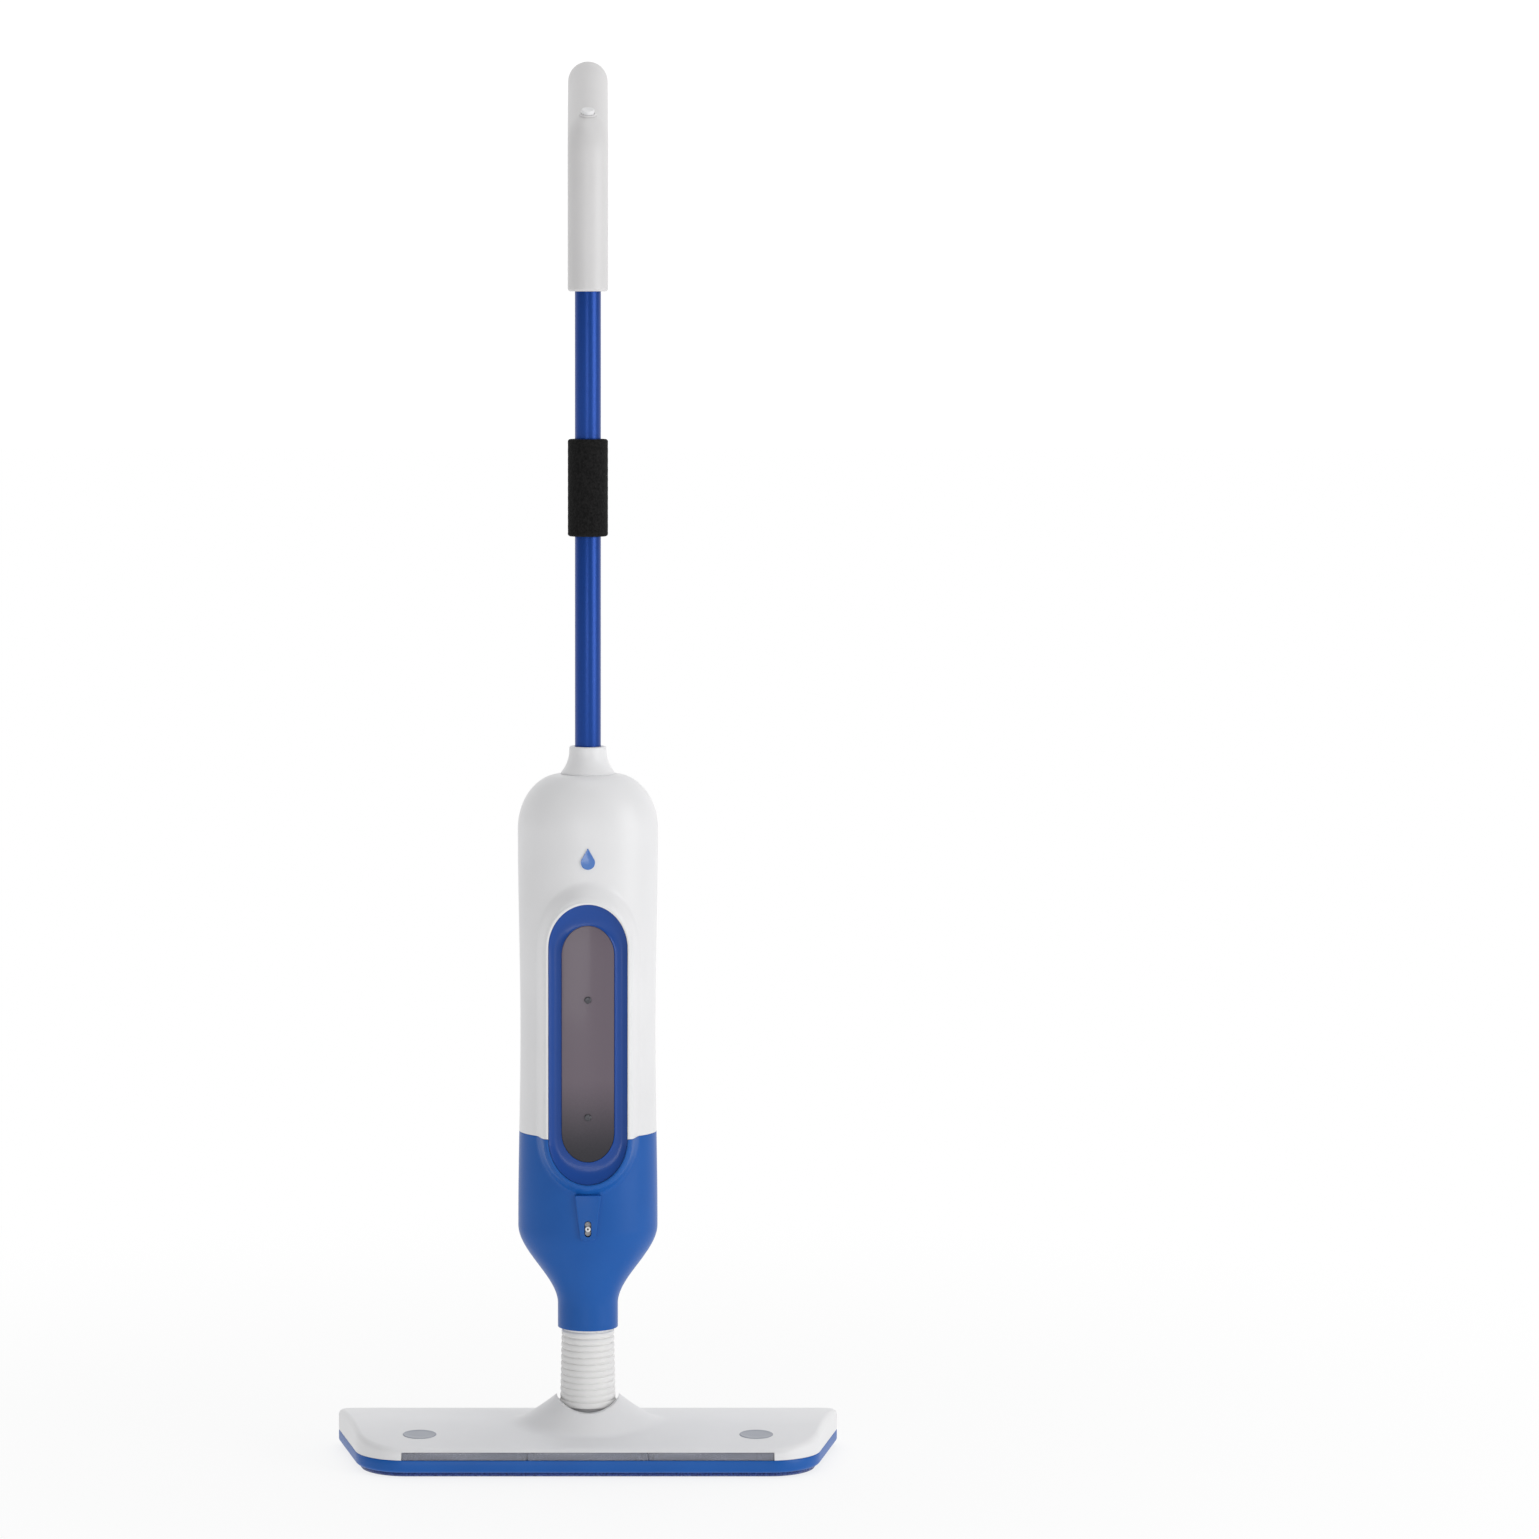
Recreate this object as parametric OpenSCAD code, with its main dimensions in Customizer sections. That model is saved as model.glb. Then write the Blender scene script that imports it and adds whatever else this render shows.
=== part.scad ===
// Cordless spray mop: a flat floor head, a two-axis swivel under a ribbed boot,
// a two-tone body with the water tank and pump, a painted tube and a bent grip.
// Millimetres. +Z is up, -Y is the front. The origin is on the floor, below the tube's axis.

/* [Floor head] */
// Width of the head across its rear corners
head_w = 433; // [340:1:520]
// Width of the head across its front corners
head_front_w = 398; // [310:1:430]
// Depth of the head, front to back
head_d = 143; // [125:1:172]
// Distance from the swivel axis forward to the head's front edge
head_front = 65; // [55:1:78]
// Radius of the front corners in plan
front_corner_r = 45; // [25:1:50]
// Radius of the rear corners in plan
rear_corner_r = 16; // [8:1:22]
// Height of the blue base under the white cover
base_h = 11; // [9:0.5:14]
// Height of the cover's crown above the base
crown_h = 21; // [17:0.5:24]
// Height of the cover's front edge above the base
front_edge_h = 9; // [8:0.5:12]
// Height of the cover's rear edge above the base
rear_edge_h = 15.5; // [12:0.5:17]
// Wall of the head mouldings
head_wall = 2.5; // [2:0.1:3]
// Thickness of the cleaning pad
pad_t = 4; // [3:0.5:8]
// Length of the clear strip in the front edge
strip_l = 316; // [260:1:330]
// Height of the clear strip
strip_h = 6.5; // [5:0.5:7]
// Length of the hook strips under the head
hook_l = 300; // [220:1:320]

/* [Swivel and boot] */
// Height of the pitch axis above the base's top plane
pitch_rise = 27; // [25:0.5:32]
// Height of the side-tilt axis above the pitch axis
tilt_rise = 20; // [18:0.5:24]
// Diameter of the pitch pins
pitch_pin_d = 8; // [6:0.5:9]
// Diameter of the side-tilt pin
tilt_pin_d = 6; // [4:0.5:7]
// Outer diameter of the boot at its top
boot_top_d = 45; // [40:0.5:50]
// Outer diameter of the boot at its base
boot_base_d = 47.6; // [44:0.5:58]
// Height of the ribbed part of the boot
boot_h = 62.4; // [52:0.2:76]
// Height of the boot's clamp ring
ring_h = 5.6; // [4:0.2:8]
// Distance from one groove of the boot to the next
groove_pitch = 5.45; // [4.5:0.05:7]

/* [Body] */
// Width of the body
body_w = 119; // [105:1:143]
// Depth of the body, without the window's hood
body_d = 92; // [84:1:112]
// Height of the body from the neck's end to the top
body_h = 474.5; // [440:0.5:570]
// Diameter of the round neck
neck_d = 51.4; // [51:0.2:62]
// Height of the straight neck
neck_h = 20; // [16:1:26]
// Height of the taper from the neck to the full width
taper_h = 68; // [56:1:75]
// Height of the white-to-blue seam above the neck's end
seam_rise = 169; // [160:1:200]
// Height of the domed shoulder
shoulder_h = 46.5; // [38:0.5:56]
// How far the body's sides draw in at the waist
waist_in = 2; // [0:0.5:4]
// Wall of the body shells
shell_wall = 3; // [2.4:0.1:3.5]

/* [Window] */
// Width of the window opening
window_w = 67; // [56:0.5:72]
// Height of the window opening
window_h = 238.5; // [200:0.5:250]
// Distance from the body's top down to the window
window_drop = 105.5; // [95:0.5:125]
// Width of the frame around the window
hood_rim = 10.5; // [7:0.5:12]
// How far the window's frame stands out of the body
hood_rise = 9; // [7:0.5:11]
// Radius of the hood's front in plan
hood_r = 110; // [80:5:160]
// Width of the smoked panel
panel_w = 44.4; // [36:0.2:50]
// Height of the smoked panel
panel_h = 201; // [170:1:206]

/* [Pole] */
// Diameter of the tube
pole_d = 22; // [18:0.5:26]
// Wall of the tube
pole_wall = 1.2; // [0.8:0.1:2]
// Length of tube that shows between the collar and the handle
pole_l = 384; // [320:1:460]
// Height of the collar at the foot of the tube
collar_h = 23.5; // [19:0.5:28]
// Diameter of the collar at its base
collar_d = 45.6; // [42:0.2:54]
// Outer diameter of the foam sleeve
foam_d = 34; // [31:0.5:41]
// Length of the foam sleeve
foam_l = 82; // [60:1:100]
// Distance from the collar up to the foam sleeve
foam_rise = 178; // [140:1:220]

/* [Handle] */
// Diameter of the handle
handle_d = 34; // [33:0.5:41]
// Length of the handle's straight stem
stem_l = 115; // [96:1:138]
// Radius of the bend's centreline between stem and grip
bend_r = 20; // [19:0.5:40]
// Length of the grip behind the bend
grip_l = 112.5; // [90:0.5:135]
// Angle of the grip above the horizontal
grip_angle = 24.5; // [15:0.5:45]
// Wall of the grip
handle_wall = 2.8; // [2.2:0.1:3.5]
// Diameter of the spray button
button_d = 11; // [9:0.5:13]
// How far the button stands out of the handle
button_proud = 4; // [3:0.5:5]
// Travel of the spray button
button_travel = 2.5; // [1.5:0.1:2.8]

/* [Water and power] */
// Width of the water tank
tank_w = 66; // [54:1:70]
// Depth of the water tank
tank_d = 68; // [56:1:74]
// Diameter of the filler neck's bore
filler_d = 24; // [18:0.5:28]
// Diameter of the filler cap
cap_d = 37; // [35:0.5:44]
// Diameter of a battery cell
cell_d = 18.4; // [14:0.1:18.6]
// Length of a battery cell
cell_l = 65; // [50:1:66]
// Diameter of the pump motor
motor_d = 24; // [20:0.5:24]

/* [Hidden] */
$fn = 48;

white = [0.93, 0.93, 0.92];
blue = [0.20, 0.40, 0.68];
deep_blue = [0.15, 0.28, 0.58];
steel = [0.72, 0.73, 0.75];
dark = [0.20, 0.20, 0.21];
green = [0.10, 0.38, 0.22];
eps = 0.01;
slip = 0.05;   // radial clearance of a shaft in its bore
fit = 0.3;     // clearance of a moulding in its opening
touch = 0.1;   // gap left between faces that meet

// heights, from the floor up
base_z = pad_t;
seam_z = base_z + base_h;
pitch_z = seam_z + pitch_rise;
tilt_z = pitch_z + tilt_rise;
barrel_r = pitch_pin_d / 2 + 4;
ring_z = pitch_z + barrel_r;
boot_z = ring_z + ring_h;
neck_z = boot_z + boot_h;
body_seam_z = neck_z + seam_rise;
taper_z = neck_z + neck_h;
full_z = taper_z + taper_h;
body_top = neck_z + body_h;
shoulder_z = body_top - shoulder_h;
collar_top = body_top + collar_h;
foam_z = collar_top + foam_rise;
handle_z = collar_top + pole_l;
bend_z = handle_z + stem_l;

// head
crown_y = 8;                                   // where the crown is highest
head_rear = head_d - head_front;
boot_gap = 2;
slot_r = boot_base_d / 2 + 0.7 + boot_gap;     // half width of the swivel's opening in the cover
slot_back = slot_r + 30;
floor_t = 4;
ear_h = 23;                                    // ears above the crown
ear_foot = 48;                                 // width of the ears' flare, to the sides
ear_depth = 22;                                // and to the front and back
ear_fn = 32;
front_rim_h = 12;                              // front rim above the crown
tower_w = 5;
tower_x = slot_r + head_wall + touch;
tower_r = pitch_pin_d / 2 + 2.5;
strip_t = 3;
clip_w = 4.2;
strip_joint_x = strip_l / 6 - 1.2;              // where the strip's three lengths meet
clip_xs = [strip_joint_x - 7.8, strip_joint_x + 6.5, strip_l / 2 - 12.5];
pad_inset = 5;
hook_w = 18;
hook_t = 1;
hook_ys = [-22, 25];
screw_spots = [[60, -head_front + 20], [60, head_rear - 23], [head_w / 2 - 46.5, head_rear - 30]];
badge_x = head_w / 2 - 73.5;
badge_w = 29;
badge_d = 18;
badge_t = 0.6;

// body
body_fn = 12;                                  // segments in half a body section
window_top = body_top - window_drop;
window_z = window_top - window_h;
window_end = 38;                               // height of the window's curved ends
hood_w = window_w + 2 * hood_rim;
hood_front = body_d / 2 + hood_rise;
panel_z = window_z + (window_h - panel_h) / 2;
panel_drop = 10;                               // from the hood's front back to the rear of the panel
panel_back = hood_front - panel_drop;
panel_t = 3;
bezel_drop = 2.5;                              // how far the bezel lies behind the hood's front
screw_x = body_w / 2 - 17.5;
upper_screw_zs = [body_seam_z + 23, shoulder_z - 16];
lower_screw_zs = [body_seam_z - 25, full_z + 6];
boss_r = 4.5;
nozzle_z = full_z + 4;
tongue_front = body_d / 2 + 2.2;
plate_t = 3;
plate_gap = 6;                                 // from the body's outside to the plate's edge
plate_z = body_seam_z + 3;
tank_z = plate_z + plate_t;
tank_wall = 2;
cable_y = tank_d / 2 + 3.2;                     // the switch cable runs behind the tank
filler_z = shoulder_z - 41;
cap_front = body_d / 2 - 1;                    // inner face of the cap's disc
socket_z = body_seam_z - 47;
socket_bore = 7;
pump_x = 25;
cell_x = 26;
cell_z = body_seam_z - 82;
pump_z = body_seam_z - 75;
pump_head_h = 20;
motor_h = 38;
board_w = 30;
board_t = 1.6;
board_y = 22.3;

// pole and handle
pole_r = pole_d / 2;
pole_foot = body_top - 32;
pole_joint = foam_z + foam_l / 2;
pole_top = bend_z - 12;
handle_r = handle_d / 2;
bezel_r = button_d / 2 + 1.5;

function flat(rows) = [for (row = rows) for (p = row) p];
function smooth(u) = u <= 0 ? 0 : u >= 1 ? 1 : u * u * (3 - 2 * u);
function unit(v) = v / norm(v);

// half width or half depth of the body at height z, below the shoulder
function side(z, half) =
    neck_d / 2 + (half - neck_d / 2) * smooth((z - taper_z) / taper_h)
    - waist_in * pow(sin(180 * min(1, max(0, (z - full_z) / (shoulder_z - full_z)))), 2);

// one level of a shell: [z, half width, half depth, outward slope, upward slope]
function side_level(z) =
    let (s = (side(z + 1, body_w / 2) - side(z - 1, body_w / 2)) / 2, n = unit([1, -s]))
    [z, side(z, body_w / 2), side(z, body_d / 2), n[0], n[1]];
function shoulder_level(a) =
    let (r0 = collar_d / 2, n = unit([cos(a) / (body_w / 2 - r0), sin(a) / shoulder_h]))
    [shoulder_z + shoulder_h * sin(a), r0 + (body_w / 2 - r0) * cos(a),
        r0 + (body_d / 2 - r0) * cos(a), n[0], n[1]];

function half_ring(z, w, d, start) =
    [for (i = [0:body_fn]) let (a = start + 180 * i / body_fn) [w * cos(a), d * sin(a), z]];
function outer_ring(l, start) = half_ring(l[0], l[1], l[2], start);
function inner_ring(l, start, t) = half_ring(l[0] - t * l[4], l[1] - t * l[3], l[2] - t * l[3], start);

// a solid through level rings, from the bottom up
module loft(rings) {
    m = len(rings);
    n = len(rings[0]);
    polyhedron(points = flat(rings), faces = concat(
        flat([for (k = [0:m - 2]) for (i = [0:n - 1]) let (a = k * n + i, b = k * n + (i + 1) % n)
            [[a, a + n, b + n], [a, b + n, b]]]),
        [[for (i = [0:n - 1]) i]], [[for (i = [n - 1:-1:0]) (m - 1) * n + i]]));
}

// a half shell between matching rings of an outer and an inner skin
module half_shell(outer, inner) {
    m = len(outer);
    n = len(outer[0]);
    k0 = m * n;
    polyhedron(points = concat(flat(outer), flat(inner)), faces = concat(
        flat([for (k = [0:m - 2]) for (i = [0:n - 2]) let (a = k * n + i, b = a + 1, d = a + n, c = d + 1)
            [[a, d, c], [a, c, b], [k0 + a, k0 + c, k0 + d], [k0 + a, k0 + b, k0 + c]]]),
        flat([for (i = [0:n - 2]) let (t = (m - 1) * n + i)
            [[i, i + 1, k0 + i + 1], [i, k0 + i + 1, k0 + i], [t, k0 + t, k0 + t + 1], [t, k0 + t + 1, t + 1]]]),
        flat([for (k = [0:m - 2]) let (a = k * n, b = a + n, e = a + n - 1, f = e + n)
            [[k0 + a, k0 + b, b], [k0 + a, b, a], [e, f, k0 + f], [e, k0 + f, k0 + e]]])));
}

// a tube swept along a route; no stretch of the route runs along X
module tube_along(route, r, sides = 8) {
    n = len(route);
    rings = [for (k = [0:n - 1])
        let (t = unit(route[min(k + 1, n - 1)] - route[max(k - 1, 0)]), u = unit(cross(t, [1, 0, 0])), v = cross(t, u))
        [for (i = [0:sides - 1]) let (a = 360 * i / sides) route[k] + r * (u * cos(a) + v * sin(a))]];
    polyhedron(points = flat(rings), faces = concat(
        flat([for (k = [0:n - 2]) for (i = [0:sides - 1])
            let (a = k * sides + i, b = k * sides + (i + 1) % sides) [[a, a + sides, b + sides], [a, b + sides, b]]]),
        [[for (i = [0:sides - 1]) i]], [[for (i = [sides - 1:-1:0]) (n - 1) * sides + i]]));
}

// a coil of wire standing on z = 0
module coil(r, wire, height, turns) {
    steps = 12;
    sides = 6;
    n = turns * steps;
    rings = [for (k = [0:n]) let (a = 360 * k / steps, z = wire + (height - 2 * wire) * k / n)
        [for (i = [0:sides - 1]) let (b = 360 * i / sides, s = r + wire * cos(b))
            [s * cos(a), s * sin(a), z + wire * sin(b)]]];
    polyhedron(points = flat(rings), faces = concat(
        flat([for (k = [0:n - 1]) for (i = [0:sides - 1])
            let (a = k * sides + i, b = k * sides + (i + 1) % sides) [[a, b, b + sides], [a, b + sides, a + sides]]]),
        [[for (i = [sides - 1:-1:0]) i]], [[for (i = [0:sides - 1]) n * sides + i]]));
}

module along_x(x0, x1, y, z, r) { translate([x0, y, z]) rotate([0, 90, 0]) cylinder(r = r, h = x1 - x0); }
module along_y(y0, y1, x, z, r) { translate([x, y1, z]) rotate([90, 0, 0]) cylinder(r = r, h = y1 - y0); }
module up(z0, z1, r) { translate([0, 0, z0]) cylinder(r = r, h = z1 - z0); }
module ring(z0, z1, r_in, r_out) { difference() { up(z0, z1, r_out); up(z0 - 1, z1 + 1, r_in); } }
module box(lo, hi) { translate(lo) cube(hi - lo); }

// outline with elliptic ends, standing up in the XZ plane, from y_front back to y_back
module arch_prism(w, h, z, y_front, y_back) {
    end = min(window_end * w / window_w, h / 2);
    pts = concat([for (a = [0:10:180]) [w / 2 * cos(a), h - end + end * sin(a)]],
        [for (a = [180:10:360]) [w / 2 * cos(a), end + end * sin(a)]]);
    translate([0, y_back, z]) rotate([90, 0, 0]) linear_extrude(y_back - y_front) polygon(pts);
}

// plan outline of the head, drawn in by inset
function arc(c, r, a0, a1) = [for (i = [0:6]) let (a = a0 + (a1 - a0) * i / 6) c + r * [cos(a), sin(a)]];
function head_outline(inset) =
    let (c1 = [head_front_w / 2 - front_corner_r, front_corner_r - head_front],
        c2 = [head_w / 2 - rear_corner_r, head_rear - rear_corner_r], d = c2 - c1,
        t = atan2(d[1], d[0]) - acos((front_corner_r - rear_corner_r) / norm(d)))
    concat(arc(c1, front_corner_r - inset, -90, t), arc(c2, rear_corner_r - inset, t, 90),
        arc([-c2[0], c2[1]], rear_corner_r - inset, 90, 180 - t),
        arc([-c1[0], c1[1]], front_corner_r - inset, 180 - t, 270));

// side profile of the cover, drawn in by inset at the top
function crown(y) = y < crown_y
    ? crown_h - (crown_h - front_edge_h) * pow((crown_y - y) / (head_front + crown_y), 2)
    : crown_h - (crown_h - rear_edge_h) * pow((y - crown_y) / (head_rear - crown_y), 2);
module cover_form(inset, foot = 0) {
    pts = concat([[-head_front - 1, -2], [head_rear + 1, -2]],
        [for (i = [12:-1:0]) let (y = -head_front - 1 + (head_d + 2) * i / 12) [y, crown(y) - inset]]);
    intersection() {
        translate([0, 0, seam_z - foot]) linear_extrude(crown_h + 2) polygon(head_outline(inset));
        translate([-head_w / 2 - 1, 0, seam_z]) rotate([90, 0, 90]) linear_extrude(head_w + 2) polygon(pts);
    }
}
module ears_form(inset) {
    level = function (u, z) [for (i = [0:ear_fn - 1]) let (a = 360 * i / ear_fn)
        [(slot_r + ear_foot * u - inset * (1 - u)) * cos(a), (slot_r + ear_depth * u - inset * (1 - u)) * sin(a), z]];
    translate([0, 0, seam_z - inset]) loft(concat([level(1, crown_h - 9)],
        [for (i = [8:-1:0]) level(i / 8, crown_h - 4 + (ear_h + 4) * pow(1 - i / 8, 1.4))]));
}
module swivel_slot(extra) {
    r = slot_r + extra;
    translate([0, 0, seam_z - 1]) linear_extrude(crown_h + ear_h + 2)
        polygon(concat([for (a = [180:15:360]) r * [cos(a), sin(a)]], [[r, slot_back + extra], [-r, slot_back + extra]]));
}
// upright slot with a round top that the pitch pins drop into
module pin_slot() {
    r = pitch_pin_d / 2 + fit;
    for (x0 = [-tower_x - tower_w, slot_r - 5]) translate([x0, 0, 0]) rotate([90, 0, 90])
        linear_extrude(tower_x + tower_w - slot_r + 5) polygon(concat([[-r, seam_z - 1], [r, seam_z - 1]],
            [for (a = [0:15:180]) [r * cos(a), pitch_z + r * sin(a)]]));
}
module head_cover() {
    scoop_h = ear_h - 1 - front_rim_h;
    scoop_r = (pow(slot_r, 2) + pow(scoop_h, 2)) / 2 / scoop_h;
    color(white) difference() {
        union() {
            difference() {
                union() { cover_form(0); ears_form(0); }
                difference() {
                    union() { cover_form(head_wall, 1); ears_form(head_wall); }
                    swivel_slot(head_wall);
                }
                swivel_slot(0);
                along_y(-head_front, head_rear, 0, seam_z + crown_h + front_rim_h + scoop_r, scoop_r);
            }
            for (s = [-1, 1], p = screw_spots) translate([s * p[0], p[1], 0])
                up(base_z + floor_t + touch, seam_z + crown(p[1]) - 1, 4);
        }
        for (s = [-1, 1], p = screw_spots) translate([s * p[0], p[1], 0]) up(base_z, seam_z + 4, 1.85);
        box([-strip_l / 2, -head_front - 1, seam_z - 1],
            [strip_l / 2, -head_front + head_wall + 1, seam_z + strip_h + fit]);
        pin_slot();
    }
}
module head_base() {
    color(blue) difference() {
        union() {
            difference() {
                translate([0, 0, base_z]) linear_extrude(base_h) polygon(head_outline(0));
                translate([0, 0, base_z + floor_t]) linear_extrude(base_h) polygon(head_outline(head_wall));
            }
            for (s = [-1, 1]) {
                x0 = s > 0 ? tower_x : -tower_x - tower_w;
                box([x0, -tower_r, base_z + 1], [x0 + tower_w, tower_r, pitch_z]);
                along_x(x0, x0 + tower_w, 0, pitch_z, tower_r);
            }
        }
        for (s = [-1, 1]) {
            along_x(s * tower_x - tower_w - 1, s * tower_x + tower_w + 1, 0, pitch_z, pitch_pin_d / 2 + slip);
            for (p = screw_spots) translate([s * p[0], p[1], 0]) {
                up(base_z - 1, base_z + floor_t + 1, 2);
                up(base_z - 1, base_z + 2, 3.9);
            }
        }
        for (y = hook_ys) box([-hook_l / 2, y - hook_w / 2, base_z - 1],
            [hook_l / 2, y + hook_w / 2, base_z + hook_t + touch]);
    }
}
module front_strip() {
    y = -head_front;
    ends = [-strip_l / 2 + fit, -strip_joint_x, strip_joint_x, strip_l / 2 - fit];
    color([0.55, 0.56, 0.60, 0.7]) for (i = [0:2])
        box([ends[i] + 0.2, y, seam_z], [ends[i + 1] - 0.2, y + strip_t, seam_z + strip_h]);
}
module strip_clips() {
    y = -head_front + strip_t;
    color(white) for (s = [-1, 1], x = clip_xs)
        box([s * x - clip_w / 2, y, seam_z - base_h + floor_t], [s * x + clip_w / 2, y + 3, seam_z + strip_h - 1]);
}
module hook_strips() {
    color(dark) for (y = hook_ys)
        box([-hook_l / 2 + 0.5, y - hook_w / 2 + 0.5, base_z], [hook_l / 2 - 0.5, y + hook_w / 2 - 0.5, base_z + hook_t]);
}
module cleaning_pad() {
    color([0.24, 0.42, 0.66]) linear_extrude(pad_t) polygon(head_outline(pad_inset));
}
module head_screws() {
    color(steel) for (s = [-1, 1], p = screw_spots) translate([s * p[0], p[1], 0]) {
        up(base_z + 0.3, base_z + 2, 3.5);
        up(base_z + 2 - eps, seam_z + 1, 1.8);
    }
}
module badge_plates() {
    // blank oval plates on the cover, one each side
    color([0.55, 0.66, 0.80]) intersection() {
        for (s = [-1, 1]) translate([s * badge_x, -head_front / 2 - 4, seam_z])
            linear_extrude(crown_h + 2) polygon(ellipse(badge_w, badge_d));
        difference() { cover_form(-badge_t); cover_form(0); }
    }
}
module detent_spring() {
    // leaf spring that holds the swivel upright
    half = 10;
    rise = pitch_z - barrel_r - fit - base_z - floor_t;
    color(steel) translate([-6, 0, base_z + floor_t]) rotate([90, 0, 90]) linear_extrude(12)
        polygon(concat([for (a = [0:15:180]) [half * cos(a), rise * sin(a)]],
            [for (a = [180:-15:0]) [(half - 1) * cos(a), (rise - 1) * sin(a)]]));
}
module pitch_pins() {
    color(steel) for (s = [-1, 1]) along_x(s > 0 ? slot_r - 12 : -tower_x - tower_w,
        s > 0 ? tower_x + tower_w : 12 - slot_r, 0, pitch_z, pitch_pin_d / 2);
}

// ---- swivel ----
flange_r = boot_base_d / 2 + 0.6;
barrel_x = sqrt(pow(slot_r, 2) - pow(barrel_r, 2)) - fit;
fork_in = 8;
fork_out = 13;
eye_r = tilt_pin_d / 2 + 5;
boot_in = boot_top_d / 2 - 3;
module swivel_knuckle() {
    color([0.85, 0.85, 0.85]) difference() {
        union() {
            along_x(-barrel_x, barrel_x, 0, pitch_z, barrel_r);
            up(ring_z - 4, ring_z, flange_r);
            for (s = [-1, 1]) {
                y0 = s > 0 ? fork_in : -fork_out;
                box([-eye_r, y0, ring_z - 1], [eye_r, y0 + fork_out - fork_in, tilt_z]);
                along_y(y0, y0 + fork_out - fork_in, 0, tilt_z, eye_r);
            }
        }
        for (s = [-1, 1]) along_x(s > 0 ? slot_r - 13 : -barrel_x - 1, s > 0 ? barrel_x + 1 : 13 - slot_r,
            0, pitch_z, pitch_pin_d / 2 + 2 + slip);
        along_y(-fork_out - 1, fork_out + 1, 0, tilt_z, tilt_pin_d / 2 + slip);
    }
}
module pivot_bushes() {
    color([0.35, 0.35, 0.36]) for (s = [-1, 1]) difference() {
        along_x(s > 0 ? slot_r - 12 : -barrel_x, s > 0 ? barrel_x : 12 - slot_r, 0, pitch_z, pitch_pin_d / 2 + 2);
        along_x(-slot_r, slot_r, 0, pitch_z, pitch_pin_d / 2 + slip);
    }
}
module tilt_pin() { color(steel) along_y(-fork_out, fork_out, 0, tilt_z, tilt_pin_d / 2); }
module boot_clamp_ring() { color(white) ring(ring_z, boot_z, boot_in, flange_r); }
module ribbed_boot() {
    r_at = function (z) boot_base_d / 2 + (boot_top_d - boot_base_d) / 2 * (z - boot_z) / boot_h;
    count = floor(boot_h / groove_pitch) - 1;
    color([0.90, 0.90, 0.89]) rotate_extrude() polygon(concat([[boot_in, boot_z], [r_at(boot_z), boot_z]],
        flat([for (i = [1:count]) let (z = boot_z + (i + 0.05) * groove_pitch)
            [[r_at(z - 0.8), z - 0.8], [r_at(z) - 1.2, z], [r_at(z + 0.8), z + 0.8]]]),
        [[r_at(neck_z), neck_z], [boot_in, neck_z]]));
}
module swivel_stem() {
    shank = fork_in - fit;
    color([0.80, 0.80, 0.80]) difference() {
        union() {
            along_y(-shank, shank, 0, tilt_z, eye_r);
            box([-7, -shank, tilt_z], [7, shank, neck_z + 1]);
            up(neck_z, neck_z + 6, (neck_d / 2 - shell_wall) * cos(90 / body_fn) - touch);
            up(neck_z, neck_z + 30, 14);
        }
        along_y(-shank - 1, shank + 1, 0, tilt_z, tilt_pin_d / 2 + slip);
        up(neck_z + 4, neck_z + 31, 10);
    }
}

// ---- body shells ----
low_levels = [for (z = [neck_z, taper_z]) side_level(z), for (i = [1:8]) side_level(taper_z + taper_h * i / 8),
    side_level((full_z + body_seam_z) / 2), side_level(body_seam_z)];
top_levels = [for (i = [0:5]) side_level(body_seam_z + (shoulder_z - body_seam_z) * i / 6),
    for (a = [0:15:90]) shoulder_level(a), [body_top, pole_r + 1, pole_r + 1, 0, 1]];
module shell_half(levels, start) {
    last = len(levels) - 1;
    // the cut ends stay level: the skin's slope is left out of the first and last rings of a side wall
    level = function (k) (k == 0 || levels[k][4] < 0.999 && k == last)
        ? [levels[k][0], levels[k][1], levels[k][2], 1, 0] : levels[k];
    half_shell([for (k = [0:last]) outer_ring(level(k), start)],
        [for (k = [0:last]) inner_ring(level(k), start, shell_wall)]);
}
module bosses(zs, front) {
    depth = sqrt(1 - pow((screw_x + boss_r) / (body_w / 2), 2)) * body_d / 2 - 0.5;
    for (s = [-1, 1], z = zs) along_y(front ? -depth : 0, front ? 0 : depth, s * screw_x, z, boss_r);
}
module boss_holes(zs, front) {
    for (s = [-1, 1], z = zs) {
        along_y(front ? -18 : -1, front ? 1 : body_d / 2, s * screw_x, z, 1.95);
        if (!front) along_y(18, body_d / 2 + 1, s * screw_x, z, 3.8);
    }
}
module hood(z0, z1) {
    intersection() {
        difference() {
            arch_prism(hood_w, window_h + 2 * hood_rim, window_z - hood_rim, -hood_front - 1, 0);
            arch_prism(window_w, window_h, window_z, -hood_front - 2, 0);
        }
        difference() {
            translate([0, hood_r - hood_front, 0]) up(z0, z1, hood_r);
            translate([0, 0, z0 - 1]) linear_extrude(z1 - z0 + 2) polygon(
                ellipse(body_w - 2 * (shell_wall + waist_in), body_d - 2 * (shell_wall + waist_in)));
        }
    }
}
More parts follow.
